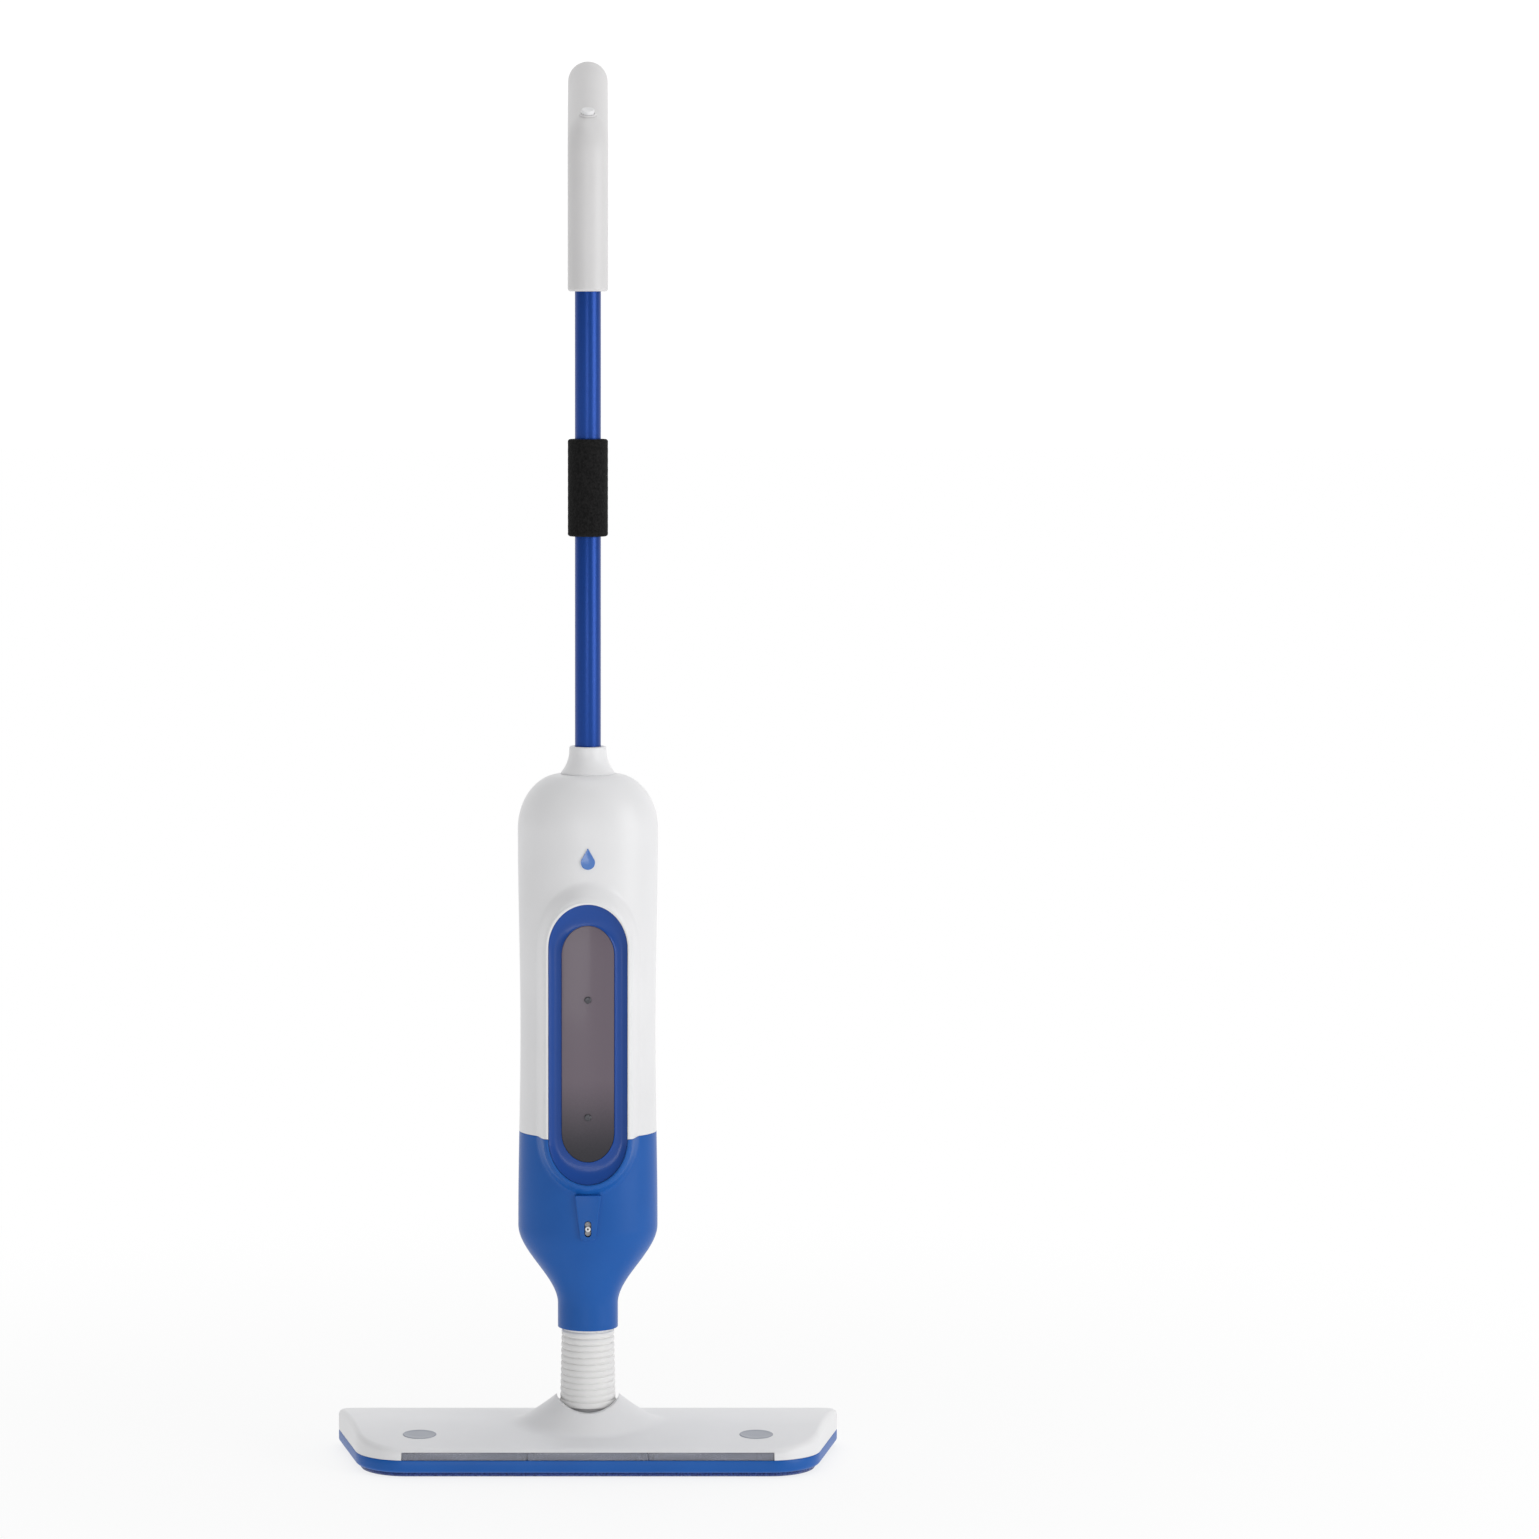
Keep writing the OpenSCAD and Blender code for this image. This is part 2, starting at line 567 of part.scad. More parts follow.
// a droplet standing up on the front of the body
module droplet(r, y_front, y_back) {
    translate([0, y_back, body_top - 71]) rotate([90, 0, 0]) linear_extrude(y_back - y_front) {
        circle(r);
        polygon([[-r * cos(30), r * sin(30)], [r * cos(30), r * sin(30)], [0, 2 * r]]);
    }
}
module window_cut() { arch_prism(window_w, window_h, window_z, -hood_front - 2, 0); }
module upper_front_shell() {
    color(white) difference() {
        union() {
            difference() { shell_half(top_levels, 180); window_cut(); }
            hood(body_seam_z, body_top);
            bosses(upper_screw_zs, true);
        }
        boss_holes(upper_screw_zs, true);
        droplet(6 + touch, -body_d / 2 - 1, 1 - body_d / 2);
    }
}
module upper_rear_shell() {
    color(white) difference() {
        union() { shell_half(top_levels, 0); bosses(upper_screw_zs, false); }
        boss_holes(upper_screw_zs, false);
        along_y(10, body_d / 2 + 5, 0, filler_z, cap_d / 2 + 1);
    }
}
module lower_front_shell() {
    tongue = [[-11.2, 40], [-9, 24], [-7.4, 10], [-6.9, 4], [-3, 0], [3, 0], [6.9, 4], [7.4, 10], [9, 24], [11.2, 40]];
    slot_r1 = 2.9;
    color(blue) difference() {
        union() {
            difference() { shell_half(low_levels, 180); window_cut(); }
            hood(window_z - hood_rim, body_seam_z);
            bosses(lower_screw_zs, true);
            translate([0, -body_d / 2 + shell_wall - 0.5, nozzle_z - 10]) rotate([90, 0, 0])
                linear_extrude(tongue_front - body_d / 2 + shell_wall - 0.5) polygon(tongue);
        }
        boss_holes(lower_screw_zs, true);
        for (z = [nozzle_z - 4, nozzle_z + 4]) along_y(-tongue_front - 1, -10, 0, z, slot_r1);
        box([-slot_r1, -tongue_front - 1, nozzle_z - 4], [slot_r1, -10, nozzle_z + 4]);
    }
}
module lower_rear_shell() {
    color(blue) difference() {
        union() {
            shell_half(low_levels, 0);
            bosses(lower_screw_zs, false);
            box([-12, body_d / 2 - 8, socket_z - 12], [12, body_d / 2 + 1, socket_z + 12]);
            for (s = [-1, 1]) hinge_lug(s);
        }
        boss_holes(lower_screw_zs, false);
        along_y(10, body_d / 2 + 5, 0, socket_z, socket_bore / 2 + 3 + slip);
        along_x(-12, 12, flap_y, flap_z, 1 + slip);
    }
}
module shell_screws() {
    color(steel) for (s = [-1, 1], z = concat(upper_screw_zs, lower_screw_zs)) {
        along_y(-17, 18 + eps, s * screw_x, z, 1.9);
        along_y(18, 20.5, s * screw_x, z, 3.5);
    }
}
module window_bezel() {
    color(deep_blue) difference() {
        intersection() {
            arch_prism(window_w - 2 * fit, window_h - 2 * fit, window_z + fit, -hood_front, -panel_back + panel_t);
            translate([0, hood_r - hood_front + bezel_drop, 0]) up(window_z, window_top, hood_r);
        }
        arch_prism(panel_w + fit, panel_h + fit, panel_z - fit / 2, -hood_front - 1, -panel_back);
        for (z = panel_screw_zs) along_y(-hood_front, -panel_back + 1, 0, z, 1.5 + slip);
    }
}
panel_screw_zs = [panel_z + panel_h * 0.19, panel_z + panel_h * 0.687];
module window_panel() {
    color([0.40, 0.37, 0.40, 0.8]) difference() {
        arch_prism(panel_w, panel_h, panel_z, -panel_back - panel_t, -panel_back);
        for (z = panel_screw_zs) along_y(-hood_front, 0, 0, z, 1.5 + slip);
    }
}
module panel_screws() {
    color(steel) for (z = panel_screw_zs) {
        along_y(-panel_back - panel_t - 1, -panel_back - panel_t, 0, z, 3);
        along_y(-panel_back - panel_t - eps, -panel_back + 1, 0, z, 1.5);
    }
}
module droplet_emblem() { color([0.35, 0.55, 0.80]) droplet(6, -body_d / 2 - 0.5, 1 - body_d / 2); }

// ---- inside the body ----
function ellipse(w, d) = [for (a = [0:12:348]) [w / 2 * cos(a), d / 2 * sin(a)]];
module chassis_plate() {
    color([0.75, 0.75, 0.76]) difference() {
        union() {
            translate([0, 0, plate_z]) linear_extrude(plate_t) polygon(ellipse(body_w - 2 * (plate_gap + 1), body_d - 2 * plate_gap));
            box([-17, 24, cell_z + 3], [17, 26, plate_z + 1]);
        }
        translate([0, 0, plate_z - 1]) cylinder(r = 5, h = plate_t + 2);
        along_y(20, 30, 0, socket_z, socket_bore / 2 + 3 + slip);
        translate([0, cable_y, plate_z - 1]) cylinder(r = 2.4, h = plate_t + 2);
        for (s = [-1, 1]) translate([s * screw_x, 0, 0]) up(plate_z - 1, plate_z + plate_t + 1, 3);
    }
}
module water_tank() {
    top = shoulder_z - 3;
    color([0.55, 0.72, 0.90, 0.6]) difference() {
        union() {
            translate([0, 0, tank_z]) linear_extrude(top - tank_z) polygon(ellipse(tank_w, tank_d));
            along_y(tank_d / 2 - 8, cap_front - 1.5 - touch, 0, filler_z, filler_d / 2 + 3);
            up(tank_z - 10, tank_z + 1, 3);
        }
        translate([0, 0, tank_z + tank_wall]) linear_extrude(top - tank_z - 2 * tank_wall)
            polygon(ellipse(tank_w - 2 * tank_wall, tank_d - 2 * tank_wall));
        along_y(0, body_d / 2, 0, filler_z, filler_d / 2);
        up(tank_z - 11, tank_z + tank_wall + 1, 1.5);
    }
}
module filler_cap() {
    color(white) union() {
        along_y(cap_front, cap_front + 4, 0, filler_z, cap_d / 2);
        along_y(cap_front - 12, cap_front + 1, 0, filler_z, filler_d / 2 - slip);
        box([-3, cap_front + 3, filler_z - cap_d / 2 + 3], [3, cap_front + 9, filler_z + cap_d / 2 - 3]);
    }
}
module cap_seal() {
    color(dark) difference() {
        along_y(cap_front - 1.5, cap_front, 0, filler_z, filler_d / 2 + 2.8);
        along_y(cap_front - 2, cap_front + 1, 0, filler_z, filler_d / 2);
    }
}
module inlet_hose() {
    z = pump_z + 10;
    color([0.80, 0.82, 0.84]) tube_along([[0, 0, tank_z - 10 - touch], [0, 0, tank_z - 16], [1, -8, tank_z - 34],
        [4, -16, z + 24], [12, -22, z + 6], [20, -20, z], [pump_x - 1, -14, z], [pump_x - 1, -8 - touch, z]], 2.4);
}
module pump_head() {
    color([0.30, 0.31, 0.33]) union() {
        translate([pump_x, 5, 0]) up(pump_z, pump_z + pump_head_h, motor_d / 2 - 0.5);
        along_y(-8, 0, pump_x - 1, pump_z + 10, 2.4);
        along_y(-8, 0, pump_x - 1, pump_z + 3.5, 2);
    }
}
module pump_motor() {
    color(steel) translate([pump_x, 5, 0]) union() {
        up(pump_z + pump_head_h, pump_z + pump_head_h + motor_h, motor_d / 2);
        up(pump_z + pump_head_h + motor_h - eps, pump_z + pump_head_h + motor_h + 4, 5);
    }
}
nozzle_back = body_d / 2 - 16;
module spray_hose() {
    color([0.80, 0.82, 0.84]) tube_along([[pump_x - 1, -8 - touch, pump_z + 3.5],
        [pump_x - 1, -13, pump_z + 3.5], [20, -17, pump_z + 1], [12, -20, nozzle_z + 1],
        [3, -23, nozzle_z], [0, -26, nozzle_z], [0, -nozzle_back, nozzle_z]], 2);
}
module nozzle_holder() {
    color([0.60, 0.61, 0.62]) difference() {
        union() {
            along_y(-nozzle_back - 11, -nozzle_back, 0, nozzle_z, 5);
            for (z = [nozzle_z - 3.6, nozzle_z + 3.6]) along_y(-tongue_front + 1.5, -nozzle_back - 10, 0, z, 2.4);
        }
        along_y(-tongue_front, -nozzle_back - 5, 0, nozzle_z, 2.35);
    }
}
module spray_nozzle() {
    color(white) difference() {
        along_y(-tongue_front - 0.6, -nozzle_back - 5.1, 0, nozzle_z, 2.3);
        along_y(-tongue_front - 1, -nozzle_back - 7, 0, nozzle_z, 0.8);
    }
}
module battery_cells() {
    color([0.25, 0.55, 0.35]) for (s = [-1, 1]) translate([-cell_x, s * (cell_d / 2 + 0.3), 0])
        up(cell_z, cell_z + cell_l, cell_d / 2);
}
module battery_holder() {
    w = cell_d / 2;
    top = cell_z + cell_l;
    color(dark) union() {
        for (z = [cell_z - 2.5, top]) box([-cell_x - w, -2 * w, z], [-cell_x + w + 1.5, 2 * w, z + 2.5]);
        box([-cell_x + w + 0.1, -2 * w, cell_z - 2.5], [-cell_x + w + 1.5, 2 * w, top + 2.5]);
    }
}
module control_board() {
    color(green) box([-board_w / 2, board_y, cell_z + 8], [board_w / 2, board_y + board_t, plate_z - 8]);
}
module charge_socket() {
    color(dark) difference() {
        along_y(26, body_d / 2 + 1, 0, socket_z, socket_bore / 2 + 3);
        along_y(32, body_d / 2 + 2, 0, socket_z, socket_bore / 2);
    }
}
// the cover of the charging socket hangs from a pin above it
flap_y = body_d / 2 + 3.2;
flap_z = socket_z + 14;
module hinge_lug(s) {
    x0 = s > 0 ? 8.2 : -11.2;
    box([x0, body_d / 2 - 6, flap_z - 2.2], [x0 + 3, flap_y, flap_z + 2.2]);
    along_x(x0, x0 + 3, flap_y, flap_z, 2.2);
}
module socket_flap() {
    color([0.16, 0.30, 0.58]) difference() {
        union() {
            box([-10, body_d / 2 + 1 + fit, socket_z - 12], [10, body_d / 2 + 3.3, flap_z - 3]);
            box([-7.9, body_d / 2 + 1.8, flap_z - 4], [7.9, flap_y + 1.2, flap_z]);
            along_x(-7.9, 7.9, flap_y, flap_z, 2);
        }
        along_x(-9, 9, flap_y, flap_z, 1 + slip);
    }
}
module flap_pin() { color(steel) along_x(-11, 11, flap_y, flap_z, 1); }

// ---- pole ----
module pole_socket() {
    color([0.75, 0.75, 0.76]) difference() {
        union() {
            ring(pole_foot - 4, body_top - shell_wall - touch, pole_r + slip, pole_r + 4);
            up(pole_foot - 4, pole_foot - 0.1, pole_r + 4);
        }
        up(pole_foot - 5, pole_foot, 4);
    }
}
module pole_collar() {
    r0 = collar_d / 2;
    r1 = pole_r + 4.8;
    color(white) rotate_extrude() polygon(concat([[pole_r + touch, body_top], [r0, body_top]],
        [for (i = [0:10]) let (u = i / 10) [r1 + (r0 - r1) * pow(1 - u, 2.4), body_top + 1 + (collar_h - 1) * u]],
        [[pole_r + touch, collar_top]]));
}
module pole_lower() { color(blue) ring(pole_foot, pole_joint - touch, pole_r - pole_wall, pole_r); }
module pole_upper() { color(blue) ring(pole_joint, pole_top, pole_r - pole_wall, pole_r); }
module pole_coupler() {
    color(dark) ring(pole_joint - 35, pole_joint + 35, pole_r - pole_wall - 2, pole_r - pole_wall - slip);
}
module foam_sleeve() { color(dark) ring(foam_z, foam_z + foam_l, pole_r + touch, foam_d / 2); }
module switch_cable() {
    color(dark) tube_along([[0, 27.5, plate_z - 14], [0, 32, plate_z - 9], [0, cable_y, plate_z], [0, cable_y, plate_z + 10],
        [0, cable_y, filler_z - 40], [-10, cable_y, filler_z - 24], [-19.5, cable_y - 4, filler_z - 6],
        [-19.5, cable_y - 4, filler_z + 8], [-15, cable_y - 2, shoulder_z - 4], [-8, 24, shoulder_z + 3],
        [-2, 8, shoulder_z + 5], [0, 0, pole_foot - 6], [0, 0, pole_foot + 12], [0, 0, pole_joint],
        [0, 0, pole_top - 10], [0, 2, bend_z + 4]], 1.2);
}

// ---- handle ----
bend_end = bend_r * [1 - cos(90 - grip_angle), sin(90 - grip_angle)];   // y and height above the bend's start
module at_grip() { translate([0, bend_end[0], bend_z + bend_end[1]]) rotate([grip_angle - 90, 0, 0]) children(); }
module at_button() { translate([0, bend_end[0], bend_z + bend_end[1]]) rotate([grip_angle, 0, 0]) children(); }
// half a round section centred at [y, z], facing along a path that leans back by lean degrees
function path_ring(y, z, lean, r, start) = [for (i = [0:body_fn]) let (t = start + 180 * i / body_fn)
    [r * cos(t), y + r * sin(t) * cos(lean), z - r * sin(t) * sin(lean)]];
function grip_ring(s, r, start) = path_ring(bend_end[0] + s * cos(grip_angle),
    bend_z + bend_end[1] + s * sin(grip_angle), 90 - grip_angle, r, start);
function handle_rings(r, bore, start) = concat(
    [for (z = [handle_z, pole_top]) path_ring(0, z, 0, bore, start)],
    [for (z = [pole_top + 1, bend_z]) path_ring(0, z, 0, r, start)],
    [for (i = [1:7]) let (a = (90 - grip_angle) * i / 7)
        path_ring(bend_r * (1 - cos(a)), bend_z + bend_r * sin(a), a, r, start)],
    [for (i = [1:2]) grip_ring(grip_l * i / 2, r, start)],
    [for (b = [20, 40, 60, 75, 89]) grip_ring(grip_l + r * sin(b), r * cos(b), start)]);
module handle_half(start) {
    bore = (pole_r + slip) / cos(90 / body_fn);
    difference() {
        half_shell(handle_rings(handle_r, handle_r, start), handle_rings(handle_r - handle_wall, bore, start));
        for (s = [-1, 1], z = handle_screw_zs) along_y(-5, handle_r, s * handle_screw_x, z, 1.25);
    }
}
handle_screw_x = (pole_r + handle_r) / 2 - 0.4;
handle_screw_zs = [handle_z + 18, pole_top - 22];
module handle_front_shell() {
    color(white) difference() {
        handle_half(180);
        at_button() cylinder(r = bezel_r + slip, h = 2 * handle_r);
    }
}
module handle_rear_shell() {
    color(white) difference() {
        handle_half(0);
        for (s = [-1, 1], z = handle_screw_zs) along_y(4, handle_r, s * handle_screw_x, z, 2.1);
    }
}
module handle_screws() {
    color(steel) for (s = [-1, 1], z = handle_screw_zs) {
        along_y(-4, 4 + eps, s * handle_screw_x, z, 1.2);
        along_y(4, 6, s * handle_screw_x, z, 2);
    }
}
button_seat = handle_r - 5;
module button_bezel() {
    color([0.86, 0.86, 0.86]) at_button() ring(button_seat, handle_r + 0.8, button_d / 2 + touch, bezel_r);
}
module spray_button() {
    color(white) at_button() union() {
        up(button_seat - 2, handle_r + button_proud, button_d / 2);
        up(button_seat - 2, button_seat - touch, bezel_r - 0.4);
    }
}
module button_spring() {
    color(steel) at_button() translate([0, 0, 3.2]) coil(3.2, 0.35, button_seat - 5.2 - touch, 5);
}
module microswitch() {
    color(dark) at_button() union() {
        box([-6, -3.2, -5], [6, 3.2, 3]);
        box([-12, -3.2, -7], [12, 3.2, -5 + eps]);
    }
}

head_cover();
head_base();
front_strip();
strip_clips();
hook_strips();
cleaning_pad();
head_screws();
badge_plates();
detent_spring();
pitch_pins();
swivel_knuckle();
pivot_bushes();
tilt_pin();
boot_clamp_ring();
ribbed_boot();
swivel_stem();
lower_front_shell();
lower_rear_shell();
upper_front_shell();
upper_rear_shell();
shell_screws();
window_bezel();
window_panel();
panel_screws();
droplet_emblem();
chassis_plate();
water_tank();
filler_cap();
cap_seal();
inlet_hose();
pump_head();
pump_motor();
spray_hose();
nozzle_holder();
spray_nozzle();
battery_cells();
battery_holder();
control_board();
charge_socket();
socket_flap();
flap_pin();
pole_socket();
pole_collar();
pole_lower();
pole_coupler();
pole_upper();
foam_sleeve();
switch_cable();
handle_front_shell();
handle_rear_shell();
handle_screws();
button_bezel();
spray_button();
button_spring();
microswitch();
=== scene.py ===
import math

import bpy
from mathutils import Matrix, Vector


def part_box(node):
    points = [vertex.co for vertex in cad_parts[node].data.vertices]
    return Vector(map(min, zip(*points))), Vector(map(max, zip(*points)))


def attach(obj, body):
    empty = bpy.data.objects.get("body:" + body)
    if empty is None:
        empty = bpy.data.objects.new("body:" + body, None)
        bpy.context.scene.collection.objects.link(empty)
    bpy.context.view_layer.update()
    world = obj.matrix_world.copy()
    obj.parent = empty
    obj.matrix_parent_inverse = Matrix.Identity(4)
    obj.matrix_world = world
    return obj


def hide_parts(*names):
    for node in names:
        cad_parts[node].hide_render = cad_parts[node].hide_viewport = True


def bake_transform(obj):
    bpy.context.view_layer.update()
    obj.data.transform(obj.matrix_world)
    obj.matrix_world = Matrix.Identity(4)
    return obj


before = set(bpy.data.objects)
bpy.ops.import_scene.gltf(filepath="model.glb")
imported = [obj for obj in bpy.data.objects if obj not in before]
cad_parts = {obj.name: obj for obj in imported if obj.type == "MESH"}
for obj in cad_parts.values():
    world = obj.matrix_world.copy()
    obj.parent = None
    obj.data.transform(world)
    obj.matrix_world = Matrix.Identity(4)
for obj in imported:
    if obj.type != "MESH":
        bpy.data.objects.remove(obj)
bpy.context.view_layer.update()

mm = 0.001

# ---- Studio -------------------------------------------------------------------------------------
# A white room: a pale floor that glows white further out, a bright wall of light behind, a large soft
# light at the right, and weaker ones in front and above. The camera stands 4.5 m in front, a little
# above the body.
bpy.context.scene.view_settings.view_transform = "Standard"
camera_data = bpy.data.cameras.new("camera")
camera_data.sensor_width = 36
camera_data.lens = 124.6
camera_data.shift_x = 0.118
camera_data.shift_y = -0.0066
camera = bpy.data.objects.new("camera", camera_data)
camera.location = (0, -4.5, 1.0)
camera.rotation_euler = (math.radians(90 - 5.02), 0, 0)
bpy.context.scene.collection.objects.link(camera)
bpy.context.scene.camera = camera


def feed(owner, step, inputs):
    """Sets a node's inputs, and joins those that are given another node's output."""
    for socket, value in inputs.items():
        if isinstance(value, bpy.types.NodeSocket):
            owner.node_tree.links.new(value, step.inputs[socket])
        else:
            step.inputs[socket].default_value = value


def add(owner, kind, inputs, out=0, **settings):
    """Adds a node with its inputs fed, and gives one of its outputs."""
    step = owner.node_tree.nodes.new(kind)
    for setting, value in settings.items():
        setattr(step, setting, value)
    feed(owner, step, inputs)
    return step.outputs[out]


world = bpy.data.worlds.new("white_room")
world.use_nodes = True
bpy.context.scene.world = world
way = add(world, "ShaderNodeTexCoord", {}, "Generated")
wall = add(world, "ShaderNodeMapRange",
           {"Value": add(world, "ShaderNodeSeparateXYZ", {0: way}, "Y"),
            "From Min": -0.2, "From Max": 0.75, "To Min": 0.34, "To Max": 1.04},
           interpolation_type="SMOOTHSTEP")
feed(world, world.node_tree.nodes["Background"], {"Color": (1.0, 1.0, 1.0, 1), "Strength": wall})


def soft_light(name, place, aim, width, watts):
    data = bpy.data.lights.new(name, "AREA")
    data.shape = "RECTANGLE"
    data.size = width
    data.size_y = width * 1.3
    data.energy = watts
    lamp = bpy.data.objects.new(name, data)
    lamp.location = place
    lamp.rotation_euler = (Vector(aim) - Vector(place)).to_track_quat("-Z", "Y").to_euler()
    bpy.context.scene.collection.objects.link(lamp)


soft_light("key_light", (3.0, -1.8, 0.8), (0, 0, 0.45), 1.8, 53)
soft_light("front_light", (-0.5, -4.3, 0.4), (0, 0, 0.05), 1.2, 23)
soft_light("top_light", (0.2, -0.3, 4.2), (0, -0.2, 0), 2.2, 36)

floor_white = bpy.data.materials.new("floor_white")
floor_white.use_nodes = True
floor_shader = floor_white.node_tree.nodes["Principled BSDF"]
feed(floor_white, floor_shader, {"Base Color": (0.95, 0.95, 0.95, 1), "Roughness": 0.9,
                                 "Specular IOR Level": 0.1})
floor_place = add(floor_white, "ShaderNodeTexCoord", {}, "Object")
floor_reach = add(floor_white, "ShaderNodeVectorMath", {0: floor_place}, "Value", operation="LENGTH")
floor_fade = add(floor_white, "ShaderNodeMapRange",
                 {"Value": floor_reach, "From Min": 0.1, "From Max": 1.3, "To Min": 0.8},
                 interpolation_type="SMOOTHSTEP")
floor_glow = add(floor_white, "ShaderNodeEmission", {})
floor_mix = add(floor_white, "ShaderNodeMixShader",
                {"Fac": floor_fade, 1: floor_shader.outputs[0], 2: floor_glow})
feed(floor_white, floor_white.node_tree.nodes["Material Output"], {"Surface": floor_mix})
bpy.ops.object.select_all(action="DESELECT")
bpy.ops.mesh.primitive_plane_add(size=60)
floor = bpy.context.active_object
floor.name = "floor"
floor.data.materials.append(floor_white)

# ---- Cleaning pad -------------------------------------------------------------------------------
# A microfibre pad a little smaller than the head, woven with short tufts, with a stitched hem round
# its edge. Hook strips under the head hold it on. It is soft, so its edges are round.
pad_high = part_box("cleaning_pad")[1]
cover_low, cover_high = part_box("head_cover")
base_z = pad_high.z
seam_z = base_z + 11 * mm
head_half = cover_high.x
front_y = cover_low.y
rear_y = cover_high.y
front_half = head_half - 17.5 * mm
front_corner = 45 * mm
rear_corner = 16 * mm
spine_half = front_half - front_corner     # the straight part of the front edge
spine_y = 6 * mm                           # the line along the head that its rings draw in to
ear_reach = 80 * mm
pad_inset = head_half - pad_high.x


def corner(centre, radius, start, end, steps):
    return [(centre[0] + radius * math.cos(math.radians(start + (end - start) * i / steps)),
             centre[1] + radius * math.sin(math.radians(start + (end - start) * i / steps)))
            for i in range(steps + 1)]


def head_outline(inset):
    """The head's plan, anticlockwise from the middle of the front edge, drawn in by inset."""
    c1 = (front_half - front_corner, front_y + front_corner)
    c2 = (head_half - rear_corner, rear_y - rear_corner)
    run = math.hypot(c2[0] - c1[0], c2[1] - c1[1])
    turn = math.degrees(math.atan2(c2[1] - c1[1], c2[0] - c1[0])
                        - math.acos((front_corner - rear_corner) / run))
    columns = [ear_reach * i / 64 for i in range(64)]
    columns += [ear_reach + (spine_half - ear_reach) * i / 20 for i in range(20)]
    first = corner(c1, front_corner - inset, -90, turn, 16)
    last = corner(c2, rear_corner - inset, turn, 90, 12)
    side = [(first[-1][0] + (last[0][0] - first[-1][0]) * i / 14,
             first[-1][1] + (last[0][1] - first[-1][1]) * i / 14) for i in range(1, 14)]
    back = [(c2[0] + (spine_half - c2[0]) * i / 12, rear_y - inset) for i in range(1, 12)]
    right = [(x, front_y + inset) for x in columns] + first + side + last + back
    right += [(x, rear_y - inset) for x in reversed(columns + [spine_half])]
    left = [(-x, y) for x, y in reversed(right[1:-1])]
    return right + left


def skin(name, across, along, place):
    """A sheet laid as a flat grid and drawn to shape: place(i, j) gives each point of the grid."""
    bpy.ops.object.select_all(action="DESELECT")
    bpy.ops.mesh.primitive_grid_add(x_subdivisions=across, y_subdivisions=along, size=1)
    piece = bpy.context.active_object
    piece.name = name
    piece.data.name = name
    for v in piece.data.vertices:
        v.co = place(round((v.co.x + 0.5) * across), round((v.co.y + 0.5) * along))
    bpy.ops.object.mode_set(mode="EDIT")
    bpy.ops.mesh.select_all(action="SELECT")
    bpy.ops.mesh.remove_doubles(threshold=0.00002)
    bpy.ops.mesh.normals_make_consistent(inside=False)
    bpy.ops.object.mode_set(mode="OBJECT")
    return piece


def smooth_edges(piece, degrees=35):
    bpy.ops.object.select_all(action="DESELECT")
    bpy.context.view_layer.objects.active = piece
    piece.select_set(True)
    bpy.ops.object.shade_smooth_by_angle(angle=math.radians(degrees))


def settle(piece, material, body, slot, *nodes):
    """Gives a finished piece its material, its body and the parts of the frame that it stands for."""
    piece.data.materials.clear()
    piece.data.materials.append(material)
    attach(piece, body)
    if nodes:
        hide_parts(*nodes)


def head_layers(name, layers, height):
    """A flat-bottomed piece through rings of the head's plan. A layer is (inset, share, level): share
    is how far the ring has drawn in to the spine, and height(x, y, level) gives its points' z."""
    outlines = [head_outline(layer[0]) for layer in layers]
    count = len(outlines[0])

    def place(i, j):
        x, y = outlines[j][i % count]
        share, level = layers[j][1], layers[j][2]
        ax = max(-spine_half, min(spine_half, x))
        x, y = x + (ax - x) * share, y + (spine_y - y) * share
        return (x, y, height(x, y, level))

    return skin(name, count, len(layers) - 1, place)


def blank(name):
    """A new material, its shader, and coordinates in metres that follow the piece."""
    material = bpy.data.materials.new(name)
    material.use_nodes = True
    where = material.node_tree.nodes.new("ShaderNodeTexCoord").outputs["Object"]
    return material, material.node_tree.nodes["Principled BSDF"], where


def noise(material, where, scale, detail=2):
    return add(material, "ShaderNodeTexNoise", {"Vector": where, "Scale": scale, "Detail": detail}, "Fac")


def cells(material, where, scale):
    return add(material, "ShaderNodeTexVoronoi", {"Vector": where, "Scale": scale}, "Distance")


def span(material, share, low, high):
    return add(material, "ShaderNodeMapRange", {"Value": share, "To Min": low, "To Max": high})


def bump(material, height, strength, distance):
    return add(material, "ShaderNodeBump", {"Height": height, "Strength": strength, "Distance": distance})


def tone(material, share, first, last, start=0.0, end=1.0):
    """A colour that turns from first to last as share goes from start to end."""
    step = material.node_tree.nodes.new("ShaderNodeValToRGB")
    for stop, place, colour in zip(step.color_ramp.elements, (start, end), (first, last)):
        stop.position = place
        stop.color = (*colour, 1)
    feed(material, step, {"Fac": share})
    return step.outputs["Color"]


def fabric(name, dark, light, tuft):
    """Microfibre: short tufts in soft rows, with painted shade that darkens the gaps between them, and a
    velvety sheen.
    """
    material, shader, where = blank(name)
    tufts = cells(material, where, 1 / tuft)
    fluff = noise(material, where, 3 / tuft, 6)
    rise = add(material, "ShaderNodeMath", {0: fluff, 1: tufts}, operation="SUBTRACT")
    # Painted shade: the colour darkens towards the gaps between the tufts, where the bump sinks.
    feed(material, shader, {"Base Color": tone(material, tufts, light, dark, 0.15, 0.85),
                            "Normal": bump(material, rise, 0.8, tuft * 0.5),
                            "Roughness": 0.95, "Sheen Weight": 0.5})
    return material


pad_t = pad_high.z
hem = 7 * mm
quarter = [math.pi / 12 * k for k in range(7)]      # the angles of a quarter turn, for rounded edges


def pad_height(x, y, level):
    return pad_t * level


